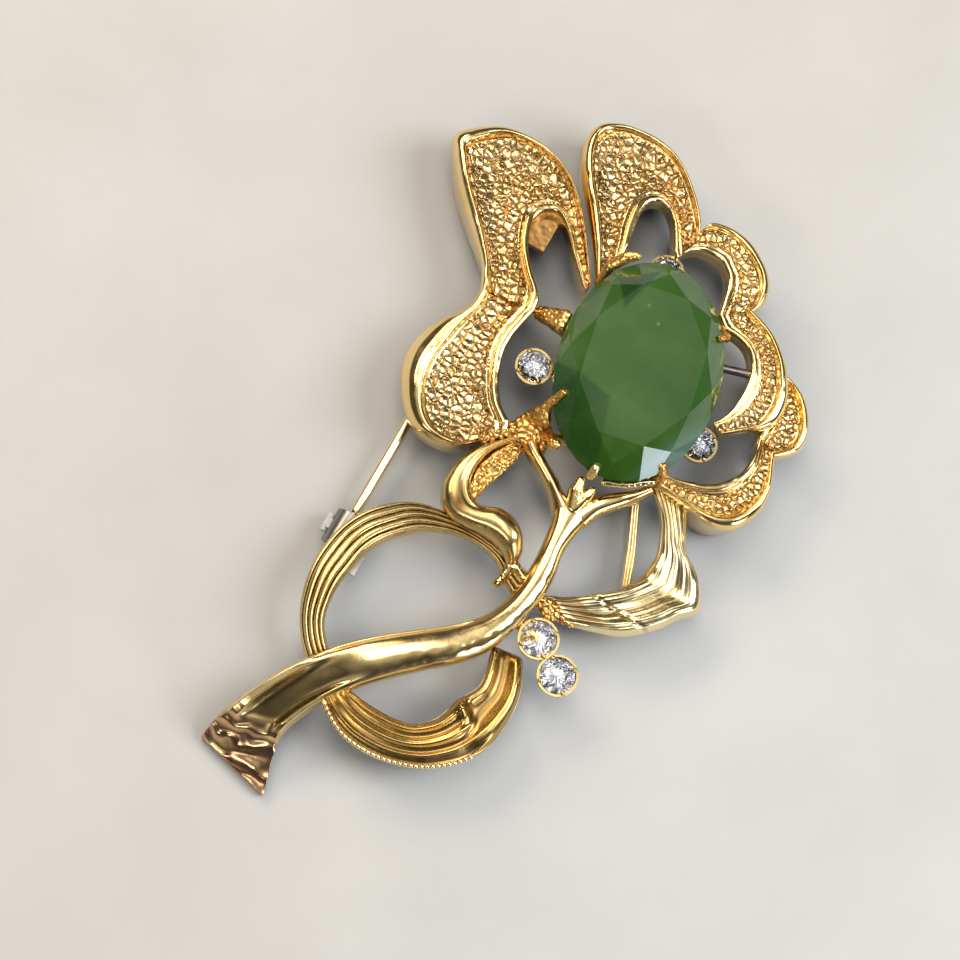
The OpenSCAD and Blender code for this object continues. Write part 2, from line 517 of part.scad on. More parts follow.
module pin_stem() {
    point = 1.2;
    // the wire is drawn slimmer just before the catch
    shoulder_y = catch_y + housing_half + 0.5;
    taper = 0.7;
    end_r = pin_r - 0.18;
    color(steel) difference() {
        union() {
            translate([pin_x - knuckle_w / 2, hinge_y, pin_z]) rotate([0, 90, 0])
                cylinder(r = knuckle_r, h = knuckle_w, $fn = fine);
            translate([pin_x, hinge_y - 0.5, pin_z]) rotate([90, 0, 0])
                cylinder(r = pin_r, h = hinge_y - 0.5 - shoulder_y, $fn = fine);
            translate([pin_x, shoulder_y, pin_z]) rotate([90, 0, 0])
                cylinder(r1 = pin_r, r2 = end_r, h = taper, $fn = fine);
            translate([pin_x, shoulder_y - taper, pin_z]) rotate([90, 0, 0])
                cylinder(r = end_r, h = shoulder_y - taper - pin_tip_y - point, $fn = fine);
            translate([pin_x, pin_tip_y + point, pin_z]) rotate([90, 0, 0])
                cylinder(r1 = end_r, r2 = 0.05, h = point, $fn = fine);
        }
        translate([pin_x - 1, hinge_y, pin_z]) rotate([0, 90, 0])
            cylinder(r = rivet_r + running_gap, h = 2, $fn = fine);
    }
}

// The catch: a slotted housing under the upper loop, and a sleeve that a tab turns inside it.
housing_r = 1.25;
housing_half = 1.35;
tab_gap_half = 0.5;
slot_w = 1;
module along_pin(y0, y1, r) {
    translate([pin_x, y1, pin_z]) rotate([90, 0, 0]) cylinder(r = r, h = y1 - y0, $fn = fine);
}
module catch_housing() {
    plate_z = pin_z + housing_r - 0.15;
    color(steel) difference() {
        union() {
            along_pin(catch_y - housing_half, catch_y + housing_half, housing_r);
            translate([pin_x - 0.15, catch_y - 2.9, plate_z]) cube([2.6, 3.4, 0.4]);
        }
        along_pin(catch_y - 2, catch_y + 2, sleeve_r + running_gap);
        translate([pin_x - slot_w / 2, catch_y - 2, pin_z - 2]) cube([slot_w, 4, 2]);
        translate([pin_x - 2, catch_y - tab_gap_half, pin_z - 2]) cube([4, 2 * tab_gap_half, 2.45]);
    }
}
module catch_sleeve() {
    half = housing_half - 0.1;
    tab_t = 0.5;
    color(steel) {
        difference() {
            along_pin(catch_y - half, catch_y + half, sleeve_r);
            along_pin(catch_y - 2, catch_y + 2, 0.55);
            translate([pin_x - slot_w / 2, catch_y - 2, pin_z - 2]) cube([slot_w, 4, 2]);
        }
        translate([pin_x - 1.45, catch_y - 0.4, pin_z - tab_t / 2]) cube([0.75, 0.8, tab_t]);
        translate([pin_x - 1.7, catch_y - 0.75, pin_z - tab_t / 2]) cube([0.32, 1.5, tab_t]);
    }
}

petal(petal_upper_left_rows);  // petal_upper_left
petal(petal_left_rows);  // petal_left
petal(petal_top_rows);  // petal_top
petal(petal_upper_right_rows);  // petal_upper_right
petal(petal_right_rows);  // petal_right
petal(petal_far_right_rows);  // petal_far_right
petal(petal_lower_right_rows);  // petal_lower_right
ribbon(stem_rows);  // stem
ribbon(arm_left_rows);  // stem_arm_left
ribbon(arm_right_rows);  // stem_arm_right
bud();
ribbon(scroll_rows);  // scroll
ribbon(scroll_lining_rows);  // scroll_lining
tendril();
ribbon(loop_upper_rows);  // loop_upper
ribbon(loop_lower_rows);  // loop_lower
milgrain_beads();
ribbon(leaf_right_rows);  // leaf_right
ribbon(leaf_brace_rows);  // leaf_brace
leaf_calyx();
setting_basket();
setting_root();
gallery_strip();
for (i = [0 : len(claws) - 1]) claw(i);
centre_stone();
for (i = [0 : len(chatons) - 1]) {
    cup(i);
    chaton(i);
}
for (i = [0 : len(posts) - 1]) post(i);
post_stem();
hinge_plate();
hinge_rivet();
pin_stem();
catch_housing();
catch_sleeve();
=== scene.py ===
"""Looks of the openwork flower brooch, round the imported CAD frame. Tables are in millimetres, meshes in metres."""
import bmesh
import bpy
import math
import numpy as np
from mathutils import Matrix, Vector


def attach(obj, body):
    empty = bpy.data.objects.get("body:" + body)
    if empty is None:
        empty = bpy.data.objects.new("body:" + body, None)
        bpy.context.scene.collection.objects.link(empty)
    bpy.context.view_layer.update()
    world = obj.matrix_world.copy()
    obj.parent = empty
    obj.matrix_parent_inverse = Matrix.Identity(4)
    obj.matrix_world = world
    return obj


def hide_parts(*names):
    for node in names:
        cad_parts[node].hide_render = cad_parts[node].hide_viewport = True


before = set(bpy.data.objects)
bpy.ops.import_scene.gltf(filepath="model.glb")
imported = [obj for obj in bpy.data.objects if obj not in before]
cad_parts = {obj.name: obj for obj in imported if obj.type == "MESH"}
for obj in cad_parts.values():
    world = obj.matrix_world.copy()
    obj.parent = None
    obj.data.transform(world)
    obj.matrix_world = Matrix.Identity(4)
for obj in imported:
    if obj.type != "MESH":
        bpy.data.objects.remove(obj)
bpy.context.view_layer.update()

MM = 0.001
rng = np.random.default_rng(11)
COARSE = 1.0
SHARP = 62  # degrees between faces above which an edge of a petal or ribbon stays crisp
# painted reflection: the rose tone that stands for a reddish reflection at the stem's end
REDDISH_REFLECTION_TONE = (0.52, 0.28, 0.18)

# ---------------------------------------------------------------- outlines (as in part.scad), in millimetres
# Petal rows: outer edge x, y, inner edge x, y, lip width, rim height, skirt foot height.
PETALS = {
    "petal_upper_left": [
        (-9.7, 11.7, -5.2, 12.4, 0.3, 6, 3.3), (-10.6, 13.5, -5.5, 13.6, 0.4, 6, 3.3),
        (-12.2, 15.2, -6.6, 14.7, 0.8, 6, 2.4), (-14, 17, -7.7, 16, 1.1, 5.9, 1.4),
        (-15.8, 18.9, -8.4, 17.2, 1.2, 5.8, 0.8), (-17.2, 20.8, -8.8, 18.4, 1.2, 5.7, 0.5),
        (-17.8, 22.2, -8.8, 19.2, 1.2, 5.6, 0.4), (-16.5, 23.6, -8.6, 19.8, 0.9, 5.6, 0.4),
        (-14.8, 24.6, -8.2, 20.2, 0.6, 5.6, 0.5), (-12.8, 25, -7.8, 20.4, 0.5, 5.6, 0.8),
        (-10.6, 24.8, -7.2, 20.3, 0.4, 5.7, 1.2), (-8.6, 24, -6.5, 19.8, 0.4, 5.8, 1.6),
        (-6.9, 22.6, -5.6, 18.9, 0.3, 5.9, 2), (-5.4, 20.9, -4.7, 17.8, 0.3, 6, 2.4),
        (-4, 19, -3.8, 16.9, 0.3, 6, 3), (-2.9, 17.3, -3, 16.1, 0.2, 6, 3.6), (-2.4, 16.5, -2.6, 15.9, 0.1, 6, 4)],
    "petal_left": [
        (-4.3, 0.6, -2.6, 2.6, 0.4, 5.6, 2.6), (-5.4, -0.3, -2.4, 2.9, 0.6, 5.8, 2.6),
        (-7, -0.7, -2.5, 3.3, 0.8, 5.9, 2.8), (-8.6, -0.5, -2.7, 3.6, 0.9, 6, 3.3),
        (-10, 0.4, -3.1, 3.9, 1.1, 6, 3.3), (-11.2, 1.9, -3.7, 4.3, 1.4, 6, 3.3), (-12, 3.5, -4.3, 5, 1.7, 6, 1.3),
        (-12.3, 5.2, -4.9, 6, 1.9, 6, 0), (-12, 6.8, -5.4, 7.2, 1.8, 6, 1.2), (-11.3, 8.2, -5.7, 8.5, 1.3, 6, 3.3),
        (-10.4, 9.2, -5.7, 9.7, 0.7, 6, 3.3), (-9.8, 10.4, -5.5, 11, 0.4, 6, 3.3),
        (-9.7, 11.7, -5.2, 12.4, 0.3, 6, 3.3)],
    "petal_top": [
        (-2.2, 17, -1.6, 17.9, 0.2, 6, 3.8), (-3, 18.3, -1.4, 19.4, 0.3, 6, 3.2),
        (-4.2, 20.1, -1.4, 20.8, 0.5, 6, 2.6), (-5.6, 22, -1.6, 22.2, 0.7, 5.9, 2),
        (-7, 23.8, -1.8, 23.5, 0.8, 5.8, 1.4), (-8.1, 25.6, -1.8, 24.5, 0.8, 5.7, 0.8),
        (-8.6, 27.4, -1.5, 25.2, 0.7, 5.6, 0.3), (-8.2, 28.9, -1.1, 25.5, 0.5, 5.5, 0),
        (-6.9, 29.8, -0.7, 25.6, 0.4, 5.5, 0), (-5.3, 30.2, -0.3, 25.5, 0.4, 5.5, 0),
        (-3.5, 30.3, 0.1, 25.3, 0.4, 5.5, 0), (-1.8, 29.9, 0.5, 24.9, 0.4, 5.6, 0.3),
        (-0.3, 29, 0.9, 24.4, 0.4, 5.7, 0.8), (1.1, 27.8, 1.3, 23.7, 0.4, 5.8, 1.4),
        (2.2, 26.5, 1.7, 22.9, 0.3, 5.9, 2), (2.8, 25.6, 2, 22.3, 0.3, 6, 2.6), (3, 25, 2.4, 21.8, 0.3, 6, 3)],
    "petal_upper_right": [
        (3, 25, 2.4, 21.8, 0.3, 6, 3), (3.4, 26.1, 2.9, 22.8, 0.3, 6, 2.6), (4.4, 26.6, 3.6, 23.5, 0.4, 5.9, 2),
        (5.6, 26.7, 4.5, 23.8, 0.4, 5.8, 1.6), (6.9, 26.5, 5.4, 23.8, 0.5, 5.8, 1.4),
        (8.1, 25.9, 6.1, 23.4, 0.5, 5.8, 1.2), (9.3, 25, 6.7, 22.8, 0.5, 5.8, 1.4),
        (10.1, 23.8, 7, 22.1, 0.5, 5.8, 1.8), (10.3, 22.5, 7.2, 21.2, 0.5, 5.9, 2.4),
        (9.8, 21.4, 7.5, 19.6, 0.3, 6, 3.2)],
    "petal_right": [
        (9.8, 21.4, 7.5, 19.6, 0.3, 6, 3.2), (10.7, 21.2, 8.3, 18.9, 0.4, 6.1, 3),
        (11.8, 20.7, 9.1, 18.8, 0.4, 6.2, 2.6), (12.9, 20, 9.9, 18.7, 0.5, 6.2, 2.4),
        (14, 19, 10.7, 18.4, 0.6, 6.2, 2.6), (14.9, 17.8, 11.4, 17.7, 0.7, 6.2, 3),
        (15.6, 16.4, 11.9, 16.7, 0.8, 6.2, 3.6), (15.8, 15.1, 12.1, 15.6, 0.8, 6.2, 3.8),
        (15.5, 14, 12.1, 14.5, 0.6, 6.1, 3.8), (14.8, 13.2, 12, 13.5, 0.4, 6, 3.8),
        (14, 12.6, 11.8, 12.8, 0.3, 5.9, 3.8), (13.1, 11.9, 11.5, 12.2, 0.2, 5.8, 3.8),
        (12.3, 11.3, 11.2, 11.8, 0.1, 5.7, 3.8)],
    "petal_far_right": [
        (14.4, 18.9, 13.2, 17.4, 0.2, 4.2, 2.4), (15.7, 18.4, 13.8, 16.6, 0.3, 4.5, 1.6),
        (16.9, 17.5, 14.2, 15.9, 0.3, 4.8, 1), (17.9, 16.2, 14.5, 15.1, 0.4, 5, 0.6),
        (18.4, 14.9, 14.7, 14.3, 0.4, 5, 0.4), (18.4, 13.7, 14.8, 13.5, 0.5, 5, 0.6),
        (17.8, 12.8, 14.9, 12.8, 0.5, 5, 1.2), (17, 12.2, 15, 12.3, 0.3, 5, 2)],
    "petal_lower_right": [
        (16.8, 12.2, 15, 12.8, 0.3, 5.2, 2), (17.2, 11.2, 15.2, 11.8, 0.4, 5.4, 1.4),
        (17.6, 10.1, 15.3, 10.9, 0.4, 5.6, 0.8), (17.9, 8.9, 15.2, 10, 0.5, 5.7, 0.3),
        (17.9, 7.7, 14.9, 9.1, 0.6, 5.8, 0), (17.6, 6.6, 14.4, 8.3, 0.7, 5.8, 0),
        (16.9, 5.4, 13.8, 7.7, 0.8, 5.8, 0), (15.8, 4.7, 13, 7.2, 0.8, 5.8, 0),
        (14.5, 4.5, 12.1, 6.8, 0.7, 5.8, 0.4), (13.1, 4.8, 11.3, 6.5, 0.4, 5.8, 1.2),
        (11.8, 4.9, 10.6, 6.3, 0.3, 5.8, 2), (10.6, 5, 10, 6.2, 0.3, 5.8, 3), (9.5, 5.1, 9.4, 6, 0.2, 5.8, 3.6)],
}
# Ribbon rows: edge a x, y, edge b x, y, crest height, edge height, underside height.
RIBBONS = {
    "stem": [
        (6.8, 0.9, 3.4, 0.6, 5.2, 4.4, 3.2), (6.3, -1, 4, -1, 5.3, 4.4, 3.2), (6.1, -3, 4.3, -3, 5.4, 4.4, 3.2),
        (6.4, -5, 4.4, -5, 5.5, 4.5, 3.2), (6.4, -7, 4.3, -7, 5.7, 4.6, 3.2), (6, -9.1, 3.9, -8.9, 5.9, 4.8, 3.4),
        (5.4, -11.2, 2.9, -10.8, 6.1, 5, 3.6), (4.6, -13, 1.2, -12.5, 6.2, 5, 3.8),
        (3.1, -14.8, -0.7, -14, 6.3, 5, 3.9), (1.3, -16.4, -2.6, -15.5, 6.3, 5, 3.9),
        (-0.3, -17.9, -4.4, -17.1, 6.2, 5, 3.8), (-1.8, -19.4, -6, -18.8, 6, 4.8, 3.5),
        (-3.1, -20.9, -7.4, -20.6, 5.6, 4.4, 3), (-4.2, -22.5, -8.6, -22.5, 5, 3.8, 2.4),
        (-5.1, -24.2, -9.6, -24.5, 4.4, 3.2, 1.6), (-5.6, -25.8, -10.3, -26.3, 3.8, 2.6, 0.8),
        (-5.4, -27.4, -10.7, -27.6, 2.6, 1.6, 0.2), (-4.6, -30.3, -10.9, -28.8, 1.1, 0.7, 0)],
    "stem_arm_left": [
        (3.7, -0.6, 5, 0.9, 5.2, 4.4, 3.4), (3, 0.3, 3.9, 1.1, 5.2, 4.4, 3.4), (2.1, 1, 2.9, 1.8, 5.2, 4.5, 3.5),
        (1.1, 1.6, 1.8, 2.4, 5.3, 4.6, 3.6), (0.2, 2.1, 0.9, 3, 5.4, 4.7, 3.7),
        (-0.7, 2.7, 0.1, 3.6, 5.5, 4.8, 3.8)],
    "stem_arm_right": [
        (4.9, 0.6, 6.6, -0.4, 5.2, 4.4, 3.4), (5.6, 1.5, 7.1, 0.9, 5.3, 4.5, 3.4),
        (6.4, 2.5, 7.8, 1.8, 5.4, 4.6, 3.5), (7.3, 3.2, 8.6, 2.7, 5.4, 4.6, 3.6),
        (8.3, 3.9, 9.3, 3.6, 5.5, 4.7, 3.7), (9.2, 4.8, 9.9, 4.5, 5.6, 4.8, 3.8)],
    "scroll": [
        (-1.2, 2.9, -2.1, 2.9, 5, 4.4, 3.6), (-2, 2.1, -3, 1.8, 5.3, 4.6, 3.4), (-2.7, 1, -3.9, 0.5, 5.5, 4.8, 3.2),
        (-3, -0.2, -4.5, -0.8, 5.6, 4.8, 3.2), (-3, -1.3, -4.7, -2.1, 5.6, 4.8, 3.2),
        (-2.7, -2.2, -4.6, -3.3, 5.7, 4.8, 3.2), (-2.1, -2.9, -4, -4.4, 5.8, 4.8, 3.4),
        (-1.4, -3.1, -2.9, -5.1, 5.9, 4.8, 3.6), (-0.6, -2.9, -1.5, -5.2, 6.1, 4.9, 3.8),
        (0.3, -2.6, -0.2, -5.1, 6.4, 5, 4), (1.5, -2.8, 1, -5.2, 6.6, 5, 4), (2.6, -3.5, 1.9, -5.5, 6.4, 4.8, 3.8),
        (3.3, -4.6, 2.5, -5.9, 5.6, 4.4, 3.6), (3.4, -5.8, 2.8, -6.3, 4.8, 4, 3.4)],
    "scroll_lining": [
        (-0.4, 2.9, -1.5, 3, 4, 3.7, 2.9), (-0.6, 1.7, -2.4, 1.8, 4, 3.7, 2.9), (-1, 0.4, -3, 0.4, 4, 3.7, 2.9),
        (-1.5, -1.1, -3.1, -1.1, 4, 3.7, 2.9), (-1.8, -2.6, -2.8, -2.6, 4, 3.7, 2.9)],
    "loop_upper": [
        (4.5, -8, 4.7, -5.6, 4.3, 3.9, 3.1), (3.2, -7.2, 3.4, -5.4, 4.2, 3.8, 3.1),
        (2, -6.2, 2.2, -5.1, 4.2, 3.8, 3.1), (0.8, -5.8, 0.8, -4.8, 4.2, 3.8, 3.1),
        (-0.5, -5.7, -0.8, -4.7, 4.2, 3.8, 3.1), (-1.8, -5.9, -2.6, -4.7, 4.3, 3.9, 3.1),
        (-3, -6.4, -4.3, -4.9, 4.5, 4, 3.2), (-4.2, -7.1, -5.9, -5.4, 4.7, 4.1, 3.2),
        (-5.4, -8.2, -7.4, -6.4, 4.8, 4.2, 3.2), (-6.4, -9.4, -8.7, -7.8, 4.9, 4.2, 3.2),
        (-7.1, -10.9, -9.6, -9.5, 4.9, 4.2, 3.2), (-7.4, -12.5, -10.1, -11.4, 4.9, 4.2, 3.2),
        (-7.6, -14.1, -10.2, -13.3, 4.9, 4.2, 3.2), (-7.5, -15.6, -9.9, -15.2, 4.8, 4.1, 3.2),
        (-7.1, -17, -9.2, -17.1, 4.6, 4, 3.1), (-6.2, -18.2, -8.1, -18.8, 4.3, 3.8, 3),
        (-5, -19.2, -6.8, -20.1, 4, 3.6, 2.9)],
    "loop_lower": [
        (-4, -19.9, -5, -21.4, 4, 3.6, 2.6), (-3, -20.4, -4.1, -22.4, 4.3, 3.8, 2.6),
        (-1.9, -20.6, -3, -23.2, 4.5, 4, 2.7), (-0.8, -20.7, -1.6, -23.8, 4.6, 4, 2.8),
        (0.4, -20.7, 0, -24, 4.6, 4, 2.8), (1.5, -20.6, 1.7, -23.9, 4.6, 4, 2.8),
        (2.5, -20.3, 3.3, -23.5, 4.6, 4, 2.8), (3.3, -19.7, 4.8, -22.9, 4.7, 4, 2.8),
        (3.9, -19, 6.1, -22, 4.8, 4, 2.8), (4.2, -18.3, 7.2, -21, 4.9, 4.1, 2.8),
        (4.4, -17.6, 8, -19.8, 5, 4.2, 2.9), (4.6, -16.9, 8.5, -18.4, 5, 4.2, 3), (5, -16.3, 8.7, -16.9, 5, 4.2, 3),
        (5.5, -15.3, 8.7, -15.3, 4.9, 4.2, 3), (5.4, -14, 8.4, -13.9, 4.8, 4.1, 3),
        (5.1, -12.9, 7.9, -12.7, 4.6, 4, 3), (4.9, -11.9, 7.3, -11.6, 4.4, 3.9, 3)],
    "leaf_right": [
        (12.8, 5.2, 9.5, 5.2, 4.4, 4, 3), (13.4, 3.9, 10.6, 4.3, 4.6, 4.1, 3), (14, 2.7, 11.5, 3.2, 4.8, 4.2, 3),
        (14.6, 1.8, 12.1, 2, 4.9, 4.2, 3), (15.7, 1.2, 12.5, 0.8, 4.9, 3.9, 2.9),
        (16.8, 0.2, 12.5, -0.3, 4.9, 3.6, 2.6), (17.6, -1.5, 12.3, -1.3, 4.8, 3.2, 2.2),
        (16.5, -2.8, 11.8, -2.3, 4.8, 3.6, 2.6), (15.7, -4, 11, -3.3, 4.8, 3.8, 2.8),
        (14.6, -5.2, 10, -4.2, 4.7, 3.9, 2.9), (13.2, -6.3, 8.9, -5.1, 4.6, 3.9, 3),
        (11.3, -7, 7.8, -5.9, 4.4, 3.8, 3), (9.6, -7.5, 6.1, -6.6, 4.2, 3.8, 3)],
    "leaf_brace": [
        (9.4, 4.2, 8.7, 3.9, 2.9, 2.6, 2), (10.4, 2, 9.6, 1.8, 2.8, 2.5, 1.8),
        (11.4, -0.3, 10.5, -0.4, 2.8, 2.5, 1.8), (12, -2.4, 11.2, -2.4, 3.2, 2.9, 2.2),
        (12.2, -3.6, 11.4, -3.7, 3.6, 3.3, 2.6)],
}


# ---------------------------------------------------------------- numeric helpers
def spline(rows, n):
    """The same smooth curve through the rows as the CAD, at n + 1 places."""
    P = np.array(rows, float)
    last = len(P) - 1
    u = np.linspace(0, last, n + 1)
    i = np.minimum(u.astype(int), last - 1)
    t = (u - i)[:, None]
    a, b, c, d = P[np.maximum(i - 1, 0)], P[i], P[i + 1], P[np.minimum(i + 2, last)]
    return b + t * (c - a) / 2 + t * t * (2 * a - 5 * b + 4 * c - d) / 2 + t ** 3 * (3 * b - a - 3 * c + d) / 2


def ridge(x, middle, width):
    return np.exp(-(((x - middle) / width) ** 2))


def smoothstep(a, b, x):
    t = np.clip((x - a) / (b - a), 0, 1)
    return t * t * (3 - 2 * t)


def hashed(ix, iy, k):
    h = np.sin(ix * 127.1 + iy * 311.7 + k * 74.7) * 43758.5453
    return h - np.floor(h)


def worley(x, y, size):
    """Distances to the two nearest of jittered cell points, in cell sizes, and the nearest cell's number."""
    x, y = x / size, y / size
    cx, cy = np.floor(x), np.floor(y)
    f1 = np.full(x.shape, 9.0)
    f2 = np.full(x.shape, 9.0)
    tag = np.zeros(x.shape)
    for dx in (-1, 0, 1):
        for dy in (-1, 0, 1):
            ix, iy = cx + dx, cy + dy
            px = ix + 0.12 + 0.76 * hashed(ix, iy, 1)
            py = iy + 0.12 + 0.76 * hashed(ix, iy, 2)
            d = np.hypot(px - x, py - y)
            near = d < f1
            f2 = np.where(near, f1, np.minimum(f2, d))
            tag = np.where(near, hashed(ix, iy, 3), tag)
            f1 = np.where(near, d, f1)
    return f1, f2, tag


def value_noise(x, y, size):
    x, y = x / size, y / size
    cx, cy = np.floor(x), np.floor(y)
    fx, fy = x - cx, y - cy
    fx, fy = fx * fx * (3 - 2 * fx), fy * fy * (3 - 2 * fy)
    a, b = hashed(cx, cy, 5), hashed(cx + 1, cy, 5)
    c, d = hashed(cx, cy + 1, 5), hashed(cx + 1, cy + 1, 5)
    return (a * (1 - fx) + b * fx) * (1 - fy) + (c * (1 - fx) + d * fx) * fy - 0.5


def make_piece(name, verts, faces, body, nodes, mats, painted_shade_and_reflection=None, smooth=True, sharp=None):
    """A mesh object from numbers in millimetres, riding on a body and standing for CAD nodes."""
    me = bpy.data.meshes.new(name)
    me.from_pydata((np.asarray(verts, float) * MM).tolist(), [], [list(map(int, f)) for f in faces])
    me.update()
    if smooth:
        me.polygons.foreach_set("use_smooth", np.ones(len(me.polygons), bool))
    if sharp is not None:
        me.set_sharp_from_angle(angle=math.radians(sharp))
    # painted shade and painted dark reflections, one value per vertex, for the metal's darker tone
    if painted_shade_and_reflection is not None:
        at = me.attributes.new("painted_shade_and_reflection", "FLOAT", "POINT")
        at.data.foreach_set("value", np.asarray(painted_shade_and_reflection, np.float32))
    ob = bpy.data.objects.new(name, me)
    bpy.context.scene.collection.objects.link(ob)
    for m in mats if isinstance(mats, (list, tuple)) else [mats]:
        me.materials.append(m)
    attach(ob, body)
    if nodes:
        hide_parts(*nodes)
    return ob


def tube_mesh(rings):
    """Vertices and quads of a closed tube through rings (n, m, 3), with a fan over each end."""
    n, m = rings.shape[:2]
    verts = rings.reshape(-1, 3)
    i, j = np.meshgrid(np.arange(n - 1), np.arange(m), indexing="ij")
    k = (j + 1) % m
    quads = np.stack([i * m + j, (i + 1) * m + j, (i + 1) * m + k, i * m + k], -1).reshape(-1, 4)
    faces = quads.tolist()
    half = m // 2
    for e, flip in ((0, False), ((n - 1) * m, True)):
        for j in range(half - 1):
            q = [e + j, e + j + 1, e + m - 2 - j, e + m - 1 - j]
            faces.append(q[::-1] if flip else q)
    return verts, faces


def resample(P, m):
    """Points evenly spread along each polyline of P (n, k, 2)."""
    d = np.linalg.norm(np.diff(P, axis=1), axis=2)
    s = np.concatenate([np.zeros((len(P), 1)), np.cumsum(d, 1)], 1)
    s /= s[:, -1:]
    t = np.linspace(0, 1, m)
    out = np.empty((len(P), m, 2))
    for r in range(len(P)):
        out[r, :, 0] = np.interp(t, s[r], P[r, :, 0])
        out[r, :, 1] = np.interp(t, s[r], P[r, :, 1])
    return out


# ---------------------------------------------------------------- materials
def new_material(name):
    m = bpy.data.materials.new(name)
    m.use_nodes = True
    nt = m.node_tree
    nt.nodes.clear()
    out = nt.nodes.new("ShaderNodeOutputMaterial")
    b = nt.nodes.new("ShaderNodeBsdfPrincipled")
    nt.links.new(b.outputs["BSDF"], out.inputs["Surface"])
    co = nt.nodes.new("ShaderNodeTexCoord")
    return m, nt, b, co


def noise(nt, co, scale, detail=3.0, rough=0.55):
    n = nt.nodes.new("ShaderNodeTexNoise")
    n.inputs["Scale"].default_value = scale
    n.inputs["Detail"].default_value = detail
    n.inputs["Roughness"].default_value = rough
    nt.links.new(co.outputs["Object"], n.inputs["Vector"])
    return n


def ramp(nt, source, *stops):
    r = nt.nodes.new("ShaderNodeValToRGB")
    els = r.color_ramp.elements
    while len(els) < len(stops):
        els.new(0.5)
    for e, (p, c) in zip(els, stops):
        e.position = p
        e.color = (*c, 1) if len(c) == 3 else c
    nt.links.new(source, r.inputs["Fac"])
    return r


def mix_rgb(nt, fac, a, b, kind="MIX"):
    m = nt.nodes.new("ShaderNodeMix")
    m.data_type = "RGBA"
    m.blend_type = kind
    for sock, v in ((m.inputs[0], fac), (m.inputs[6], a), (m.inputs[7], b)):
        if isinstance(v, (int, float)):
            sock.default_value = v
        elif isinstance(v, tuple):
            sock.default_value = (*v, 1)
        else:
            nt.links.new(v, sock)
    return m.outputs[2]


def bump(nt, height, distance, strength=1.0, before=None):
    b = nt.nodes.new("ShaderNodeBump")
    b.inputs["Distance"].default_value = distance
    b.inputs["Strength"].default_value = strength
    nt.links.new(height, b.inputs["Height"])
    if before is not None:
        nt.links.new(before, b.inputs["Normal"])
    return b.outputs["Normal"]


def math_node(nt, kind, a, b=0.0, c=0.0):
    n = nt.nodes.new("ShaderNodeMath")
    n.operation = kind
    for sock, v in zip(n.inputs, (a, b, c)):
        if isinstance(v, (int, float)):
            sock.default_value = v
        else:
            nt.links.new(v, sock)
    return n.outputs[0]


def spread(nt, value, low, high, a=0.0, b=1.0, kind="SMOOTHSTEP"):
    """Maps low..high to a..b, with a soft step unless kind says LINEAR."""
    n = nt.nodes.new("ShaderNodeMapRange")
    n.interpolation_type = kind
    for k, v in zip(("From Min", "From Max", "To Min", "To Max"), (low, high, a, b)):
        n.inputs[k].default_value = v
    nt.links.new(value, n.inputs["Value"])
    return n.outputs["Result"]


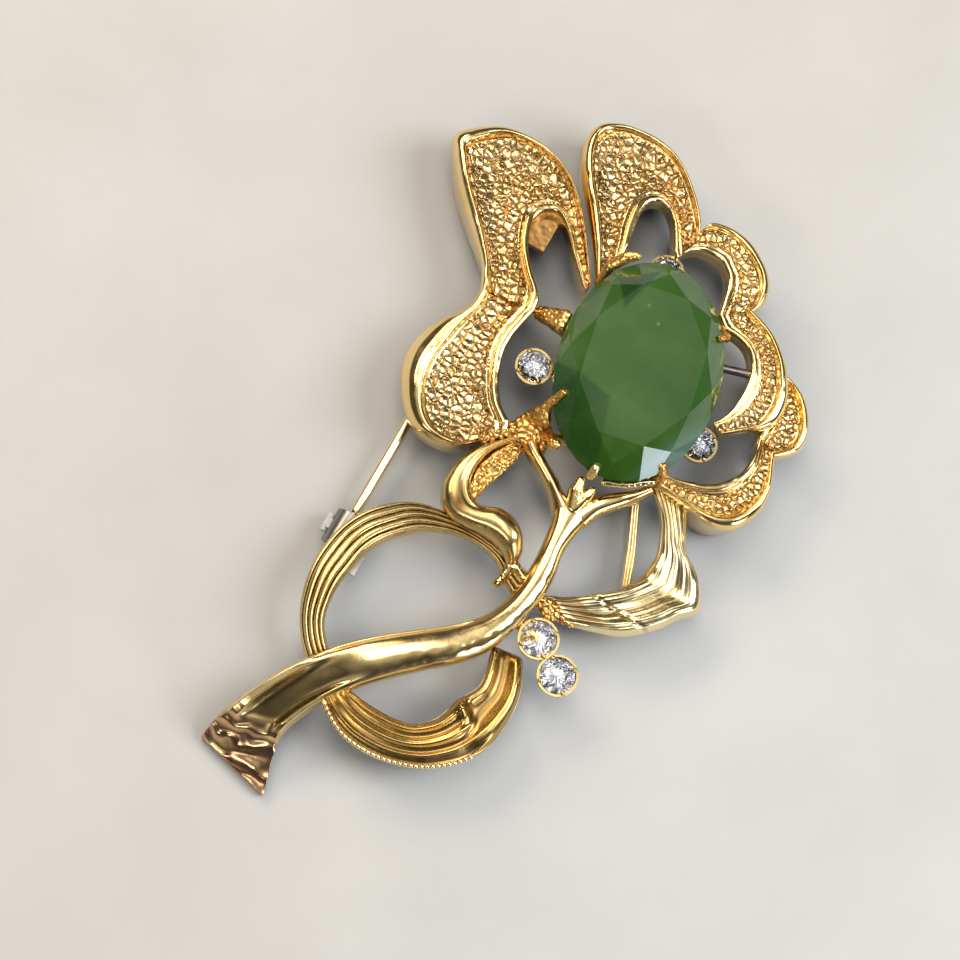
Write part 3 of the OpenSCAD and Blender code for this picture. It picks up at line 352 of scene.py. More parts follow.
def metal(name, light, deep, painted_shade_tone, rough=(0.1, 0.24), grain=0.000006, lumps=0.0, pebble=0.0, rosy=None):
    """Plated metal: tone drifts, a darker, redder tone is painted as shade and as dark reflections where the mesh's
    attribute says, wear and fine scratches break the polish.

    pebble is the size of its rounded nuggets, and rosy the Y below which a rose tone is painted in patches as a reddish
    reflection."""
    m, nt, b, co = new_material(name)
    drift = noise(nt, co, 260, 4)
    tone = ramp(nt, drift.outputs["Fac"], (0.32, deep), (0.68, light))
    # painted shade and painted dark reflections: the mesh's attribute mixes in the darker painted tone
    at = nt.nodes.new("ShaderNodeAttribute")
    at.attribute_name = "painted_shade_and_reflection"
    painted_shade_amount = ramp(nt, at.outputs["Fac"], (0.25, (0, 0, 0)), (0.95, (1, 1, 1)))
    colour = mix_rgb(nt, painted_shade_amount.outputs["Color"], tone.outputs["Color"], painted_shade_tone)
    if pebble:
        cells = []
        for feature in ("F1", "DISTANCE_TO_EDGE"):
            v = nt.nodes.new("ShaderNodeTexVoronoi")
            v.feature = feature
            v.inputs["Scale"].default_value = 1 / pebble
            v.inputs["Randomness"].default_value = 0.85
            warp = noise(nt, co, 1500, 2)
            nt.links.new(mix_rgb(nt, 0.00022, co.outputs["Object"], warp.outputs["Color"], "ADD"), v.inputs["Vector"])
            cells.append(v.outputs["Distance"])
        gap = spread(nt, cells[1], 0.0, 0.2)
        # painted shade in the gaps between the nuggets
        colour = mix_rgb(nt, spread(nt, cells[1], 0.02, 0.13, 0.95, 0.0), colour, painted_shade_tone)
        dome = spread(nt, cells[0], 0.75, 0.0)
        nuggets = math_node(nt, "MULTIPLY", gap, math_node(nt, "MULTIPLY_ADD", dome, 0.6, 0.5))
    # painted reflection: below Y = rosy a rose tone, in patches, stands for a reddish reflection
    if rosy is not None:
        sep = nt.nodes.new("ShaderNodeSeparateXYZ")
        nt.links.new(co.outputs["Object"], sep.inputs[0])
        patch = noise(nt, co, 700, 3)
        low = spread(nt, sep.outputs["Y"], rosy + 0.0006, rosy - 0.0006)
        reddish_reflection = math_node(nt, "MULTIPLY", low, spread(nt, patch.outputs["Fac"], 0.35, 0.62, 0.2, 0.85))
        colour = mix_rgb(nt, reddish_reflection, colour, REDDISH_REFLECTION_TONE)
    nt.links.new(colour, b.inputs["Base Color"])
    b.inputs["Metallic"].default_value = 1.0
    wear = noise(nt, co, 900, 5, 0.65)
    worn_polish = spread(nt, wear.outputs["Fac"], 0.3, 0.7, *rough, kind="LINEAR")
    rougher = math_node(nt, "MULTIPLY_ADD", painted_shade_amount.outputs["Color"], 0.18, worn_polish)
    nt.links.new(rougher, b.inputs["Roughness"])
    fine = noise(nt, co, 2600, 4, 0.6)
    n = bump(nt, fine.outputs["Fac"], grain)
    mp = nt.nodes.new("ShaderNodeMapping")
    mp.inputs["Rotation"].default_value = (0.3, 0.5, 0.9)
    mp.inputs["Scale"].default_value = (400, 9000, 3000)
    nt.links.new(co.outputs["Object"], mp.inputs["Vector"])
    s = nt.nodes.new("ShaderNodeTexNoise")
    s.inputs["Scale"].default_value = 1.0
    s.inputs["Detail"].default_value = 2.0
    nt.links.new(mp.outputs["Vector"], s.inputs["Vector"])
    n = bump(nt, s.outputs["Fac"], 0.0000025, 0.7, n)
    if pebble:
        n = bump(nt, nuggets, pebble * 0.2, 1.0, n)
    if lumps:
        v = nt.nodes.new("ShaderNodeTexVoronoi")
        v.feature = "SMOOTH_F1"
        v.inputs["Scale"].default_value = 2300
        nt.links.new(co.outputs["Object"], v.inputs["Vector"])
        n = bump(nt, v.outputs["Distance"], lumps, 1.0, n)
    nt.links.new(n, b.inputs["Normal"])
    return m


GOLD = metal("polished_gold", (1.0, 0.78, 0.4), (0.93, 0.64, 0.24), (0.42, 0.2, 0.06), (0.09, 0.2))
PEBBLED = metal("pebbled_gold", (1.0, 0.82, 0.48), (0.93, 0.68, 0.31), (0.3, 0.15, 0.04), (0.2, 0.34), 0.000008,
                pebble=0.00062)
FINE_PEBBLED = metal("fine_pebbled_gold", (1.0, 0.82, 0.48), (0.92, 0.67, 0.3), (0.28, 0.14, 0.04), (0.2, 0.34),
                     0.000008, pebble=0.0005)
CAST = metal("rough_cast_gold", (0.98, 0.67, 0.24), (0.82, 0.45, 0.11), (0.3, 0.12, 0.03), (0.2, 0.36), 0.00001,
             0.00003)
PALE = metal("pale_gold", (1.0, 0.85, 0.55), (0.95, 0.76, 0.42), (0.4, 0.24, 0.1), (0.12, 0.24))
LEAF = metal("silvery_gold", (1.0, 0.86, 0.54), (0.95, 0.76, 0.4), (0.26, 0.16, 0.06), (0.14, 0.26))
STEM = metal("stem_gold", (0.99, 0.77, 0.4), (0.9, 0.64, 0.26), (0.09, 0.065, 0.03), (0.12, 0.24), rosy=-0.0262)
BRASSY = metal("ribbed_gold", (0.74, 0.56, 0.26), (0.58, 0.41, 0.16), (0.17, 0.08, 0.02), (0.18, 0.32))
OLD = metal("deep_ribbed_gold", (0.66, 0.46, 0.18), (0.45, 0.28, 0.08), (0.1, 0.045, 0.01), (0.16, 0.3))
# painted shade: a darker copy of the cast gold for the hinge, which lies in shade under the petal
SHADED_HINGE_CAST = metal("hinge_gold_painted_shade", (0.56, 0.34, 0.12), (0.36, 0.19, 0.06), (0.16, 0.07, 0.02), (0.26, 0.42),
                   0.00001, 0.00004)
# rhodium-coloured metal with its tone darkened as painted shade, for fittings that lie in shadow
SILVER_PAINTED_SHADE = metal("rhodium", (0.34, 0.33, 0.31), (0.26, 0.25, 0.24), (0.15, 0.14, 0.13), (0.24, 0.4), 0.00001, 0.00001)
WIRE = metal("pin_wire_gold", (0.99, 0.84, 0.52), (0.93, 0.72, 0.38), (0.4, 0.24, 0.1), (0.1, 0.2))


def stone_material():
    """Cloudy green stone: part clear, part milky, with drifting tone, inclusions and fine surface scratches."""
    m, nt, b, co = new_material("green_stone")
    cloud = noise(nt, co, 160, 4, 0.55)
    tone = ramp(nt, cloud.outputs["Fac"], (0.3, (0.06, 0.175, 0.03)), (0.55, (0.095, 0.235, 0.045)),
                (0.75, (0.14, 0.29, 0.08)))
    sep = nt.nodes.new("ShaderNodeSeparateXYZ")
    nt.links.new(co.outputs["Object"], sep.inputs[0])
    lower_end = spread(nt, sep.outputs["Y"], 0.0085, 0.0035, kind="LINEAR")
    deep = mix_rgb(nt, lower_end, tone.outputs["Color"], (0.05, 0.16, 0.008))

    def wedge(corners, soft=0.00012):
        """1 inside a triangle of the stone's plan, given anticlockwise in metres."""
        fac = None
        for (x0, y0), (x1, y1) in zip(corners, corners[1:] + corners[:1]):
            nx, ny = -(y1 - y0), x1 - x0
            ln = math.hypot(nx, ny)
            dot = nt.nodes.new("ShaderNodeVectorMath")
            dot.operation = "DOT_PRODUCT"
            nt.links.new(co.outputs["Object"], dot.inputs[0])
            dot.inputs[1].default_value = (nx / ln, ny / ln, 0)
            off = (nx * x0 + ny * y0) / ln
            inside = spread(nt, dot.outputs["Value"], off - soft, off + soft, kind="LINEAR")
            fac = inside if fac is None else math_node(nt, "MULTIPLY", fac, inside)
        return fac

    # painted dark reflections: darker triangles where the pavilion facets show through the table
    for tri, amount in ((((0.0007, 0.0150), (0.0018, 0.0195), (-0.0008, 0.0173)), 0.75),
                        (((0.0031, 0.0083), (-0.0022, 0.0092), (0.0006, 0.0040)), 0.6),
                        (((0.0031, 0.0083), (0.0006, 0.0040), (0.0048, 0.0034)), 0.45),
                        (((0.0048, 0.0202), (0.0075, 0.0186), (0.0086, 0.0202)), 0.4)):
        area = sum(a[0] * b[1] - b[0] * a[1] for a, b in zip(tri, tri[1:] + tri[:1]))
        f = wedge(list(tri if area > 0 else tri[::-1]))
        deep = mix_rgb(nt, math_node(nt, "MULTIPLY", f, amount), deep, (0.012, 0.085, 0.012))
    # the pale sheen on the lower right crown facets
    f = wedge([(0.0078, 0.0043), (0.0120, 0.0085), (0.0106, 0.0108), (0.0086, 0.0072)], 0.0005)
    deep = mix_rgb(nt, math_node(nt, "MULTIPLY", f, 0.6), deep, (0.2, 0.36, 0.3))
    specks = nt.nodes.new("ShaderNodeTexVoronoi")
    specks.inputs["Scale"].default_value = 420
    nt.links.new(co.outputs["Object"], specks.inputs["Vector"])
    spot = ramp(nt, specks.outputs["Distance"], (0.0, (1, 1, 1)), (0.09, (0, 0, 0)))
    pale = mix_rgb(nt, spot.outputs["Color"], deep, (0.3, 0.5, 0.26))
    nt.links.new(pale, b.inputs["Base Color"])
    b.inputs["Roughness"].default_value = 0.05
    b.inputs["IOR"].default_value = 1.56
    b.inputs["Transmission Weight"].default_value = 0.45
    b.inputs["Subsurface Weight"].default_value = 0.35
    b.inputs["Subsurface Radius"].default_value = (0.0008, 0.0022, 0.0007)
    b.inputs["Subsurface Scale"].default_value = 1.0
    b.inputs["Coat Weight"].default_value = 0.4
    b.inputs["Coat Roughness"].default_value = 0.03
    s = noise(nt, co, 3000, 3, 0.7)
    nt.links.new(bump(nt, s.outputs["Fac"], 0.0000015), b.inputs["Normal"])
    return m


def crystal_material():
    m, nt, b, co = new_material("crystal")
    n = noise(nt, co, 700, 2)
    c = ramp(nt, n.outputs["Fac"], (0.3, (0.9, 0.93, 0.97)), (0.7, (1, 1, 1)))
    nt.links.new(c.outputs["Color"], b.inputs["Base Color"])
    b.inputs["Roughness"].default_value = 0.02
    b.inputs["IOR"].default_value = 1.55
    b.inputs["Transmission Weight"].default_value = 1.0
    s = noise(nt, co, 4000, 2)
    nt.links.new(bump(nt, s.outputs["Fac"], 0.000001), b.inputs["Normal"])
    return m


def foil_material():
    m, nt, b, co = new_material("stone_foil")
    n = noise(nt, co, 900, 3)
    c = ramp(nt, n.outputs["Fac"], (0.3, (0.6, 0.6, 0.62)), (0.7, (0.9, 0.9, 0.93)))
    nt.links.new(c.outputs["Color"], b.inputs["Base Color"])
    b.inputs["Metallic"].default_value = 1.0
    b.inputs["Roughness"].default_value = 0.12
    s = noise(nt, co, 3000, 2)
    nt.links.new(bump(nt, s.outputs["Fac"], 0.000002), b.inputs["Normal"])
    return m


GREEN = stone_material()
CRYSTAL = crystal_material()
FOIL = foil_material()

# ---------------------------------------------------------------- petals
# Per petal: pebble size, pebble height, depth of the groove inside the outer lip.
RELIEF = {
    "petal_upper_left": (0.56, 0.1, 0.3), "petal_left": (0.56, 0.1, 0.1), "petal_top": (0.54, 0.1, 0.2),
    "petal_upper_right": (0.48, 0.09, 0.1), "petal_right": (0.48, 0.09, 0.14), "petal_far_right": (0.48, 0.09, 0.1),
    "petal_lower_right": (0.48, 0.09, 0.1),
}
WALL, DEPTH, INNER, LEAN = 0.8, 0.9, 2.0, 0.12


def petal(name):
    rows = PETALS[name]
    size, high, groove = RELIEF[name]
    length = np.hypot(*np.diff(np.array(rows)[:, :2], axis=0).T).sum()
    n = int(COARSE * length / 0.09)
    R = spline(rows, n)
    A, B = R[:, 0:2], R[:, 2:4]
    w = np.linalg.norm(B - A, axis=1)
    along = (B - A) / w[:, None]
    k = np.minimum(1, w / 4)
    t = np.minimum(WALL, 0.3 * w)
    lip = np.minimum(R[:, 4], 0.4 * w)
    rim, foot = R[:, 5], R[:, 6]
    lip_z = rim - 0.35 - lip
    lean = LEAN * (lip_z - foot)
    floor_z = rim - DEPTH * k
    z0 = np.zeros(n + 1)
    # the top, as a fine polyline across the ring
    tall = lip_z - foot
    cols = [(lean, foot), (lean * 0.6, foot + 0.4 * tall), (lean * 0.12, foot + 0.85 * tall), (z0, lip_z)]
    for q in (0.2, 0.4, 0.6, 0.8, 1.0):
        a = q * math.pi / 2
        cols.append((lip * (1 - math.cos(a)), lip_z + (rim - lip_z) * math.sin(a)))
    start, stop = lip + 0.3 * k, w - 1.05 * k
    cols.append((lip + 0.16 * k, rim - 0.04 * k))
    for q in np.linspace(0, 1, 15):
        bowl = math.sin(math.pi * (0.12 + 0.76 * q)) ** 0.8
        base = math.sin(math.pi * 0.12) ** 0.8
        cols.append((start + (stop - start) * q, rim - 0.2 * k - (DEPTH - 0.2) * k * (bowl - base) / (1 - base)))
    cols += [(w - 0.9 * k, rim - 0.26 * k), (w - 0.8 * k, rim - 0.26 * k), (w - 0.74 * k, rim - 0.3 * k),
             (w - 0.68 * k, rim - 0.12 * k), (w - 0.6 * k, rim - 0.02 * k), (w - 0.4 * k, rim + 0.02),
             (w - 0.2 * k, rim - 0.01), (w - 0.05 * k, rim - 0.08),
             (w, rim - 0.28), (w, rim - 0.6), (w - 0.03, rim - 0.5 * (INNER + 0.5)), (w, rim - INNER)]
    P = np.stack([np.stack(np.broadcast_arrays(*c), -1) for c in cols], 1)
    mt = int(COARSE * 124)
    T = resample(P, mt)
    d, z = T[:, :, 0].copy(), T[:, :, 1].copy()
    # pebbles in the channel, and the groove beside the lip, darkened with painted shade
    X = A[:, None, :] + along[:, None, :] * d[:, :, None]
    W, L, K = w[:, None], lip[:, None], k[:, None]
    mask = smoothstep(0.3, 0.7, (d - L) / K) * smoothstep(0.95, 1.25, (W - d) / K)
    f1, f2, tag = worley(X[..., 0], X[..., 1], size)
    edge = smoothstep(0.0, 0.3, f2 - f1)
    dome = np.clip(1 - (f1 / 0.62) ** 2, 0, 1)
    peb = 0.3 * high * (0.6 * edge + 0.75 * dome * edge) * (0.55 + 0.6 * tag)
    peb += 0.07 * value_noise(X[..., 0], X[..., 1], 1.4)
    z += mask * (peb - 0.04)
    fade = smoothstep(0.0, 0.12, np.linspace(0, 1, n + 1)) * smoothstep(0.0, 0.12, np.linspace(1, 0, n + 1))
    g = ridge(d - L, 0.42 * K, 0.15 * K) * fade[:, None]
    g2 = ridge(W - d, 0.75 * K, 0.08 * K)
    z -= groove * g * (z > floor_z[:, None] - 0.5)
    ripple = value_noise(X[..., 0], X[..., 1], 0.8) * 0.05 + value_noise(X[..., 0] + 7, X[..., 1], 2.2) * 0.08
    z += ripple * (1 - mask) * smoothstep(0.0, 0.6, z - foot[:, None])
    # painted shade in the groove beside the lip, beside the inner rim and down the inner wall
    shade_reflection_paint = 0.8 * g * groove / 0.3 + 0.7 * g2
    inner = smoothstep(0.3, 1.2, rim[:, None] - z) * (d > W - 0.2)
    shade_reflection_paint = np.clip(shade_reflection_paint + 0.5 * inner, 0, 1)
    # underside
    ms = int(COARSE * 22)
    U = np.stack([np.stack(np.broadcast_arrays(*c), -1) for c in [
        (w - t, rim - INNER), (w - t, floor_z - t), (0.5 * w, floor_z - t - 0.05),
        (np.minimum(t + 0.3, 0.45 * w), np.minimum(floor_z - t, lip_z)),
        (t + 0 * w, np.minimum(floor_z - t, lip_z) - 0.25), (t + lean * (1 - 2 * t / np.maximum(w, 0.1)), foot)]], 1)
    V = resample(U, ms)
    D = np.concatenate([d, V[:, :, 0]], 1)
    Z = np.concatenate([z, V[:, :, 1]], 1)
    XY = A[:, None, :] + along[:, None, :] * D[:, :, None]
    rings = np.concatenate([XY, Z[:, :, None]], 2)
    if rings.shape[1] % 2:
        rings = rings[:, :-1]
    # painted shade over the whole underside
    painted_shade_and_reflection = np.concatenate([shade_reflection_paint, np.full(V.shape[:2], 0.75)], 1)[:, :rings.shape[1]]
    verts, faces = tube_mesh(rings)
    mats = [PEBBLED if size > 0.5 else FINE_PEBBLED, GOLD]
    ob = make_piece(name + "_skin", verts, faces, "brooch", [name], mats, painted_shade_and_reflection.ravel(), sharp=SHARP)
    # the polished lips and skirts take the smoother gold
    m = rings.shape[1]
    polished = (np.concatenate([mask, np.zeros(V.shape[:2])], 1)[:, :m] < 0.5)
    idx = np.zeros(len(faces), int)
    nq = (len(rings) - 1) * m
    idx[:nq] = polished[:-1].ravel()[:nq]
    idx[nq:] = 1
    ob.data.polygons.foreach_set("material_index", idx)
    return ob


# ---------------------------------------------------------------- ribbons
def shape_stem(s, u, R, X):
    """Round at the fork, then a dished blade with a raised rim each side, and a ridged, torn-looking end."""
    c = smoothstep(0.6, 0.8, u)
    t = 2 * s - 1
    dome = np.sqrt(np.clip(1 - t * t, 0, 1))
    rim = 0.95 * ridge(s, 0.86, 0.12) + 0.8 * ridge(s, 0.1, 0.1) + 0.28
    prof = dome * (1 - c) + np.minimum(rim, 1) * c * smoothstep(0, 0.05, np.minimum(s, 1 - s))
    end = smoothstep(0.84, 0.95, u + 0.02 * s)
    prof = prof * (1 - end) + (0.35 + 0.3 * dome) * end
    torn = value_noise(X[..., 0], X[..., 1], 0.9)
    wave = np.sin(2 * math.pi * ((u - 0.9) / 0.036 + 0.3 * np.sin(5 * s + 1) + 0.45 * torn))
    wave = wave * (0.7 + 0.5 * value_noise(X[..., 0] + 3, X[..., 1], 1.3))
    extra = end * (0.13 * wave + 0.14 * torn)
    beaten = smoothstep(0.5, 0.15, s) * smoothstep(0.1, 0.2, u) * (1 - smoothstep(0.5, 0.62, u))
    extra = extra + 0.09 * beaten * value_noise(X[..., 0], X[..., 1], 0.55) * smoothstep(0, 0.1, s)
    line = -0.22 * ridge(s, 0.9, 0.03) * smoothstep(0.33, 0.42, u) * (1 - smoothstep(0.62, 0.7, u))
    # painted dark reflection across the dish; painted shade in the troughs of the end and along the groove line
    dish_dark_reflection = smoothstep(0.56, 0.68, u) * np.exp(-(((s - 0.46) / 0.3) ** 4)) * (1 - end)
    shade_reflection_paint = end * (0.5 - 0.5 * wave) * 0.9 + np.clip(-line * 3, 0, 1) + dish_dark_reflection
    return prof, extra + line, shade_reflection_paint


def shape_round(s, u, R, X):
    t = 2 * s - 1
    return np.sqrt(np.clip(1 - t * t, 0, 1)), 0.05 * value_noise(X[..., 0], X[..., 1], 1.2), 0 * s


def shape_scroll(s, u, R, X):
    """A plump ribbon with a bright raised band along its inner edge."""
    t = 2 * s - 1
    dome = np.clip(1 - np.abs(t) ** 2.4, 0, 1) ** 0.55
    keep = 1 - smoothstep(0.5, 0.66, u)
    band = 0.16 * ridge(s, 0.14, 0.1) - 0.06 * ridge(s, 0.32, 0.06)
    # painted dark reflection at the bend, and painted shade in the small trough beside the band
    shade = 0.95 * np.exp(-(((u - 0.43 - 0.1 * s) / 0.08) ** 2) - ((s - 0.55) / 0.3) ** 2)
    shade_reflection_paint = 0.25 * ridge(s, 0.32, 0.05) * keep + shade
    return dome, band * keep + 0.05 * value_noise(X[..., 0], X[..., 1], 1.4), np.clip(shade_reflection_paint, 0, 1)


def shape_lining(s, u, R, X):
    f1, f2, tag = worley(X[..., 0], X[..., 1], 0.45)
    w = smoothstep(0.0, 0.35, f2 - f1)
    low = ridge(s, 0.8, 0.14)
    beaten = 0.1 * w + 0.2 * value_noise(X[..., 0], X[..., 1], 0.6) + 0.35 * low
    # painted shade in the gaps between the beaten cells
    return np.clip(1 - np.abs(2 * s - 1) ** 3, 0, 1), beaten, 0.8 * (1 - w) * (1 - low)


def shape_ribs(count, high, bright=0.12):
    def f(s, u, R, X):
        t = 2 * s - 1
        dome = np.clip(1 - np.abs(t) ** 3, 0, 1) ** 0.6
        wob = 0.05 * value_noise(X[..., 0], X[..., 1], 2.5)
        r = np.abs(np.sin(math.pi * count * (s + wob)))
        fade = smoothstep(0.02, bright, s) * smoothstep(0.0, 0.06, 1 - s)
        # painted shade in the troughs between the ribs
        return dome, fade * high * (np.sqrt(r) - 0.8), np.clip(fade * (1 - smoothstep(0.15, 0.7, r)), 0, 1) * 0.9
    return f


def shape_leaf(s, u, R, X):
    """Fine uneven ribs along the leaf, folded down past its tip."""
    t = 2 * s - 1
    dome = np.clip(1 - np.abs(t) ** 2.6, 0, 1) ** 0.6
    k = s + 0.06 * value_noise(X[..., 0], X[..., 1], 3.0)
    r = 0.6 * np.abs(np.sin(math.pi * 6 * k)) + 0.4 * np.abs(np.sin(math.pi * 13 * k + 1))
    fold = ridge(u - 0.05 * s, 0.74, 0.012)
    broad = 0.35 * np.sin(math.pi * 2.2 * s + 0.6) * smoothstep(0.25, 0.45, u) * (1 - smoothstep(0.8, 0.95, u))
    fade = smoothstep(0.0, 0.1, np.minimum(s, 1 - s))
    # painted dark reflection near the end of the leaf, painted shade in the fold and between the ribs
    dark = 0.85 * smoothstep(0.84, 0.88, u) * (1 - smoothstep(0.95, 0.98, u)) * smoothstep(0.1, 0.3, s)
    shade_reflection_paint = np.clip(fade * (0.75 - r) * 1.2 + 0.5 * fold + dark, 0, 1)
    return dome, fade * (0.1 * (r - 0.6) + broad) - 0.1 * fold, shade_reflection_paint


def shape_beaded(s, u, R, X):
    """Inner ridge, valley, second ridge, then a beaded border; a smooth leaf where it turns up to the stem."""
    up = smoothstep(0.58, 0.7, u)
    t = 2 * s - 1
    edge = smoothstep(0, 0.08, np.minimum(s, 1 - s))
    low = 0.95 * ridge(s, 0.14, 0.12) + 0.9 * ridge(s, 0.46, 0.13) + 0.5 * ridge(s, 0.74, 0.08) + 0.1
    leaf = ridge(s, 0.8, 0.2) + 0.75 * ridge(s, 0.12, 0.16) + 0.05
    blob = 0.55 * np.exp(-(((u - 0.66) / 0.035) ** 2) - ((s - 0.22) / 0.2) ** 2)
    prof = (low * (1 - up) + leaf * up) * edge
    lines = 0.07 * np.abs(np.sin(math.pi * 9 * s)) * (1 - up) * edge
    # painted shade in the low parts between the ridges
    shade_reflection_paint = (1 - np.clip(prof, 0, 1)) * 0.7 * smoothstep(0.04, 0.12, np.minimum(s, 1 - s))
    tip = np.sqrt(np.clip(1 - ((u - 0.95) / 0.055).clip(0, 1) ** 2, 0, 1))
    return prof * tip, blob + lines + 0.9 * (tip - 1), np.clip(shade_reflection_paint, 0, 1)


def shape_brace(s, u, R, X):
    r = np.abs(np.sin(math.pi * 3 * s))
    # painted shade in the troughs between the ribs
    return np.clip(1 - np.abs(2 * s - 1) ** 3, 0, 1), 0.12 * (r - 0.5), 0.6 * (1 - r)


SHAPES = {
    "stem": (shape_stem, STEM), "stem_arm_left": (shape_round, GOLD), "stem_arm_right": (shape_round, GOLD),
    "scroll": (shape_scroll, BRASSY), "scroll_lining": (shape_lining, CAST),
    "loop_upper": (shape_ribs(4.5, 0.3), BRASSY),
    "loop_lower": (shape_beaded, OLD), "leaf_right": (shape_leaf, LEAF), "leaf_brace": (shape_brace, LEAF),
}


def ribbon(name):
    rows = RIBBONS[name]
    shape, mat = SHAPES[name]
    arr = np.array(rows)
    length = max(np.hypot(*np.diff(arr[:, :2], axis=0).T).sum(), np.hypot(*np.diff(arr[:, 2:4], axis=0).T).sum())
    n = int(COARSE * length / 0.1)
    R = spline(rows, n)
    A, B = R[:, 0:2], R[:, 2:4]
    mt = int(COARSE * 72)
    # denser towards both edges, so that the shoulders stay round
    s = 0.5 - 0.5 * np.cos(np.linspace(0, math.pi, mt))
    s = 0.5 * s + 0.5 * np.linspace(0, 1, mt)
    S = np.broadcast_to(s, (n + 1, mt))
    U = np.broadcast_to(np.linspace(0, 1, n + 1)[:, None], (n + 1, mt))
    X = A[:, None, :] + (B - A)[:, None, :] * S[:, :, None]
    prof, extra, shade_reflection_paint = shape(S, U, R, X)
    crest, edge, low = R[:, 4:5], R[:, 5:6], R[:, 6:7]
    Z = edge + (crest - edge) * prof + extra
    Z = np.maximum(Z, low + 0.15)
    # side walls with rounded feet, and the underside
    q = np.array([0.25, 0.6, 0.9])
    ins = np.array([0.0, 0.01, 0.05])
    w = np.linalg.norm(B - A, axis=1)[:, None]
    along = (B - A) / w
    def wall(P, z_top, sign):
        out = []
        for a, i in zip(q, ins):
            p = P + sign * along * i
            out.append(np.concatenate([p, z_top * (1 - a) + low * a], 1))
        return np.stack(out, 1)
    top = np.concatenate([X, Z[:, :, None]], 2)
    right = wall(B, Z[:, -1:], -1)
    left = wall(A, Z[:, :1], 1)[:, ::-1]
    su = np.linspace(0.97, 0.03, 8)
    XU = A[:, None, :] + (B - A)[:, None, :] * su[None, :, None]
    hollow = 0.25 * np.sin(math.pi * su)[None, :] * np.minimum(1, (edge - low) / 1.2)
    under = np.concatenate([XU, (low + hollow)[:, :, None]], 2)
    rings = np.concatenate([top, right, under, left], 1)
    # painted shade on the side walls and the underside
    c = np.concatenate([shade_reflection_paint, np.full((n + 1, 14), 0.35)], 1)
    if rings.shape[1] % 2:
        rings, c = rings[:, 1:], c[:, 1:]
    verts, faces = tube_mesh(rings)
    return make_piece(name + "_skin", verts, faces, "brooch", [name], mat, c.ravel(), sharp=SHARP)


# ---------------------------------------------------------------- stones
def brilliant(half_x, half_y, girdle, crown, pavilion, table, sides=8, band=0.06):
    """An oval or round brilliant: table, stars, kites, upper girdle facets, girdle, lower halves and mains."""
    V, F = [], []
    def spot(r, a, z):
        V.append((half_x * r * math.cos(a), half_y * r * math.sin(a), z))
        return len(V) - 1
    st = 2 * math.pi / sides
    mid = 0.5 * (1 + table)
    mid_z = girdle + crown * 0.52
    T = [spot(table, st * (i + 0.5), girdle + crown) for i in range(sides)]
    M = [spot(mid * 1.02, st * (i + 1), mid_z) for i in range(sides)]
    per = 4
    G = [spot(1, st * j / per, girdle) for j in range(per * sides)]
    H = [spot(1, st * j / per, girdle - band * half_x) for j in range(per * sides)]
    N = [spot(0.45, st * (i + 0.5), girdle - band * half_x - pavilion * 0.55) for i in range(sides)]
    C = spot(0, 0, girdle - pavilion)
    F.append(T)
    g = per * sides
    for i in range(sides):
        a, b = T[i], T[(i + 1) % sides]
        m, p = M[i], M[i - 1]
        F.append([b, m, a])
        k = per * i + per // 2
        F.append([a, p, G[k % g]])
        F.append([a, G[k % g], m])
        nxt = per * (i + 1)
        F += [[m, G[j % g], G[(j + 1) % g]] for j in range(k, k + per)]
    for j in range(g):
        F.append([G[j], H[j], H[(j + 1) % g], G[(j + 1) % g]])
    for i in range(sides):
        k = per * i + per // 2
        nn, np_ = N[i], N[(i + 1) % sides]
        e = (k + per // 2) % g
        F += [[H[j % g], nn, H[(j + 1) % g]] for j in range(k - per // 2, k + per // 2)]
        F.append([H[e], nn, C])
        F.append([H[e], C, np_])
    return V, F


def outward(ob):
    """Turns every face outward."""
    bm = bmesh.new()
    bm.from_mesh(ob.data)
    bmesh.ops.remove_doubles(bm, verts=bm.verts, dist=1e-7)
    bmesh.ops.recalc_face_normals(bm, faces=bm.faces)
    bm.to_mesh(ob.data)
    bm.free()
    ob.data.update()


STONE = (4.15, 11.85, math.radians(12))


def centre_stone():
    V, F = brilliant(half_x=6.5, half_y=9, girdle=7.4, crown=1.9, pavilion=3.9, table=0.74)
    c, s = math.cos(STONE[2]), math.sin(STONE[2])
    V = [(STONE[0] + x * c - y * s, STONE[1] + x * s + y * c, z) for x, y, z in V]
    ob = make_piece("centre_stone_cut", V, F, "brooch", ["centre_stone"], GREEN, smooth=False)
    outward(ob)
    return ob


CHATONS = {"left": (-3.1, 8.7, 4.7, 1.2), "top": (2.3, 20.7, 5.2, 1.2), "right": (11.1, 9.8, 5.2, 1.2),
           "stem_upper": (7.65, -9.9, 4.6, 1.35), "stem_lower": (10.3, -11.6, 4.4, 1.35)}


def chaton(name):
    x, y, z, r = CHATONS[name]
    turn = rng.random()
    def placed(V):
        c, s = math.cos(turn), math.sin(turn)
        return [(x + a * c - b * s, y + a * s + b * c, h) for a, b, h in V]
    V, F = brilliant(r + 0.1, r + 0.1, girdle=z + 0.1, crown=0.42, pavilion=0.5, table=0.55)
    outward(make_piece("chaton_" + name + "_cut", placed(V), F, "brooch", ["chaton_" + name], CRYSTAL,
                       smooth=False))
    # foiled, pleated back of the stone, seen through its top
    n = 16
    V, F = [], []
    for i in range(2 * n):
        a = math.pi * i / n
        V.append((0.93 * r * math.cos(a), 0.93 * r * math.sin(a), z - 0.12 - (0.1 if i % 2 else 0)))
        V.append((0.42 * r * math.cos(a), 0.42 * r * math.sin(a), z - 0.52 - (0.16 if i % 4 else 0)))
    V.append((0, 0, z - 0.62))
    for i in range(2 * n):
        j = (i + 1) % (2 * n)
        F.append([2 * i, 2 * i + 1, 2 * j + 1])
        F.append([2 * i, 2 * j + 1, 2 * j])
        F.append([2 * i + 1, 4 * n, 2 * j + 1])
    make_piece("chaton_" + name + "_foil", placed(V), F, "brooch", [], FOIL, smooth=False)


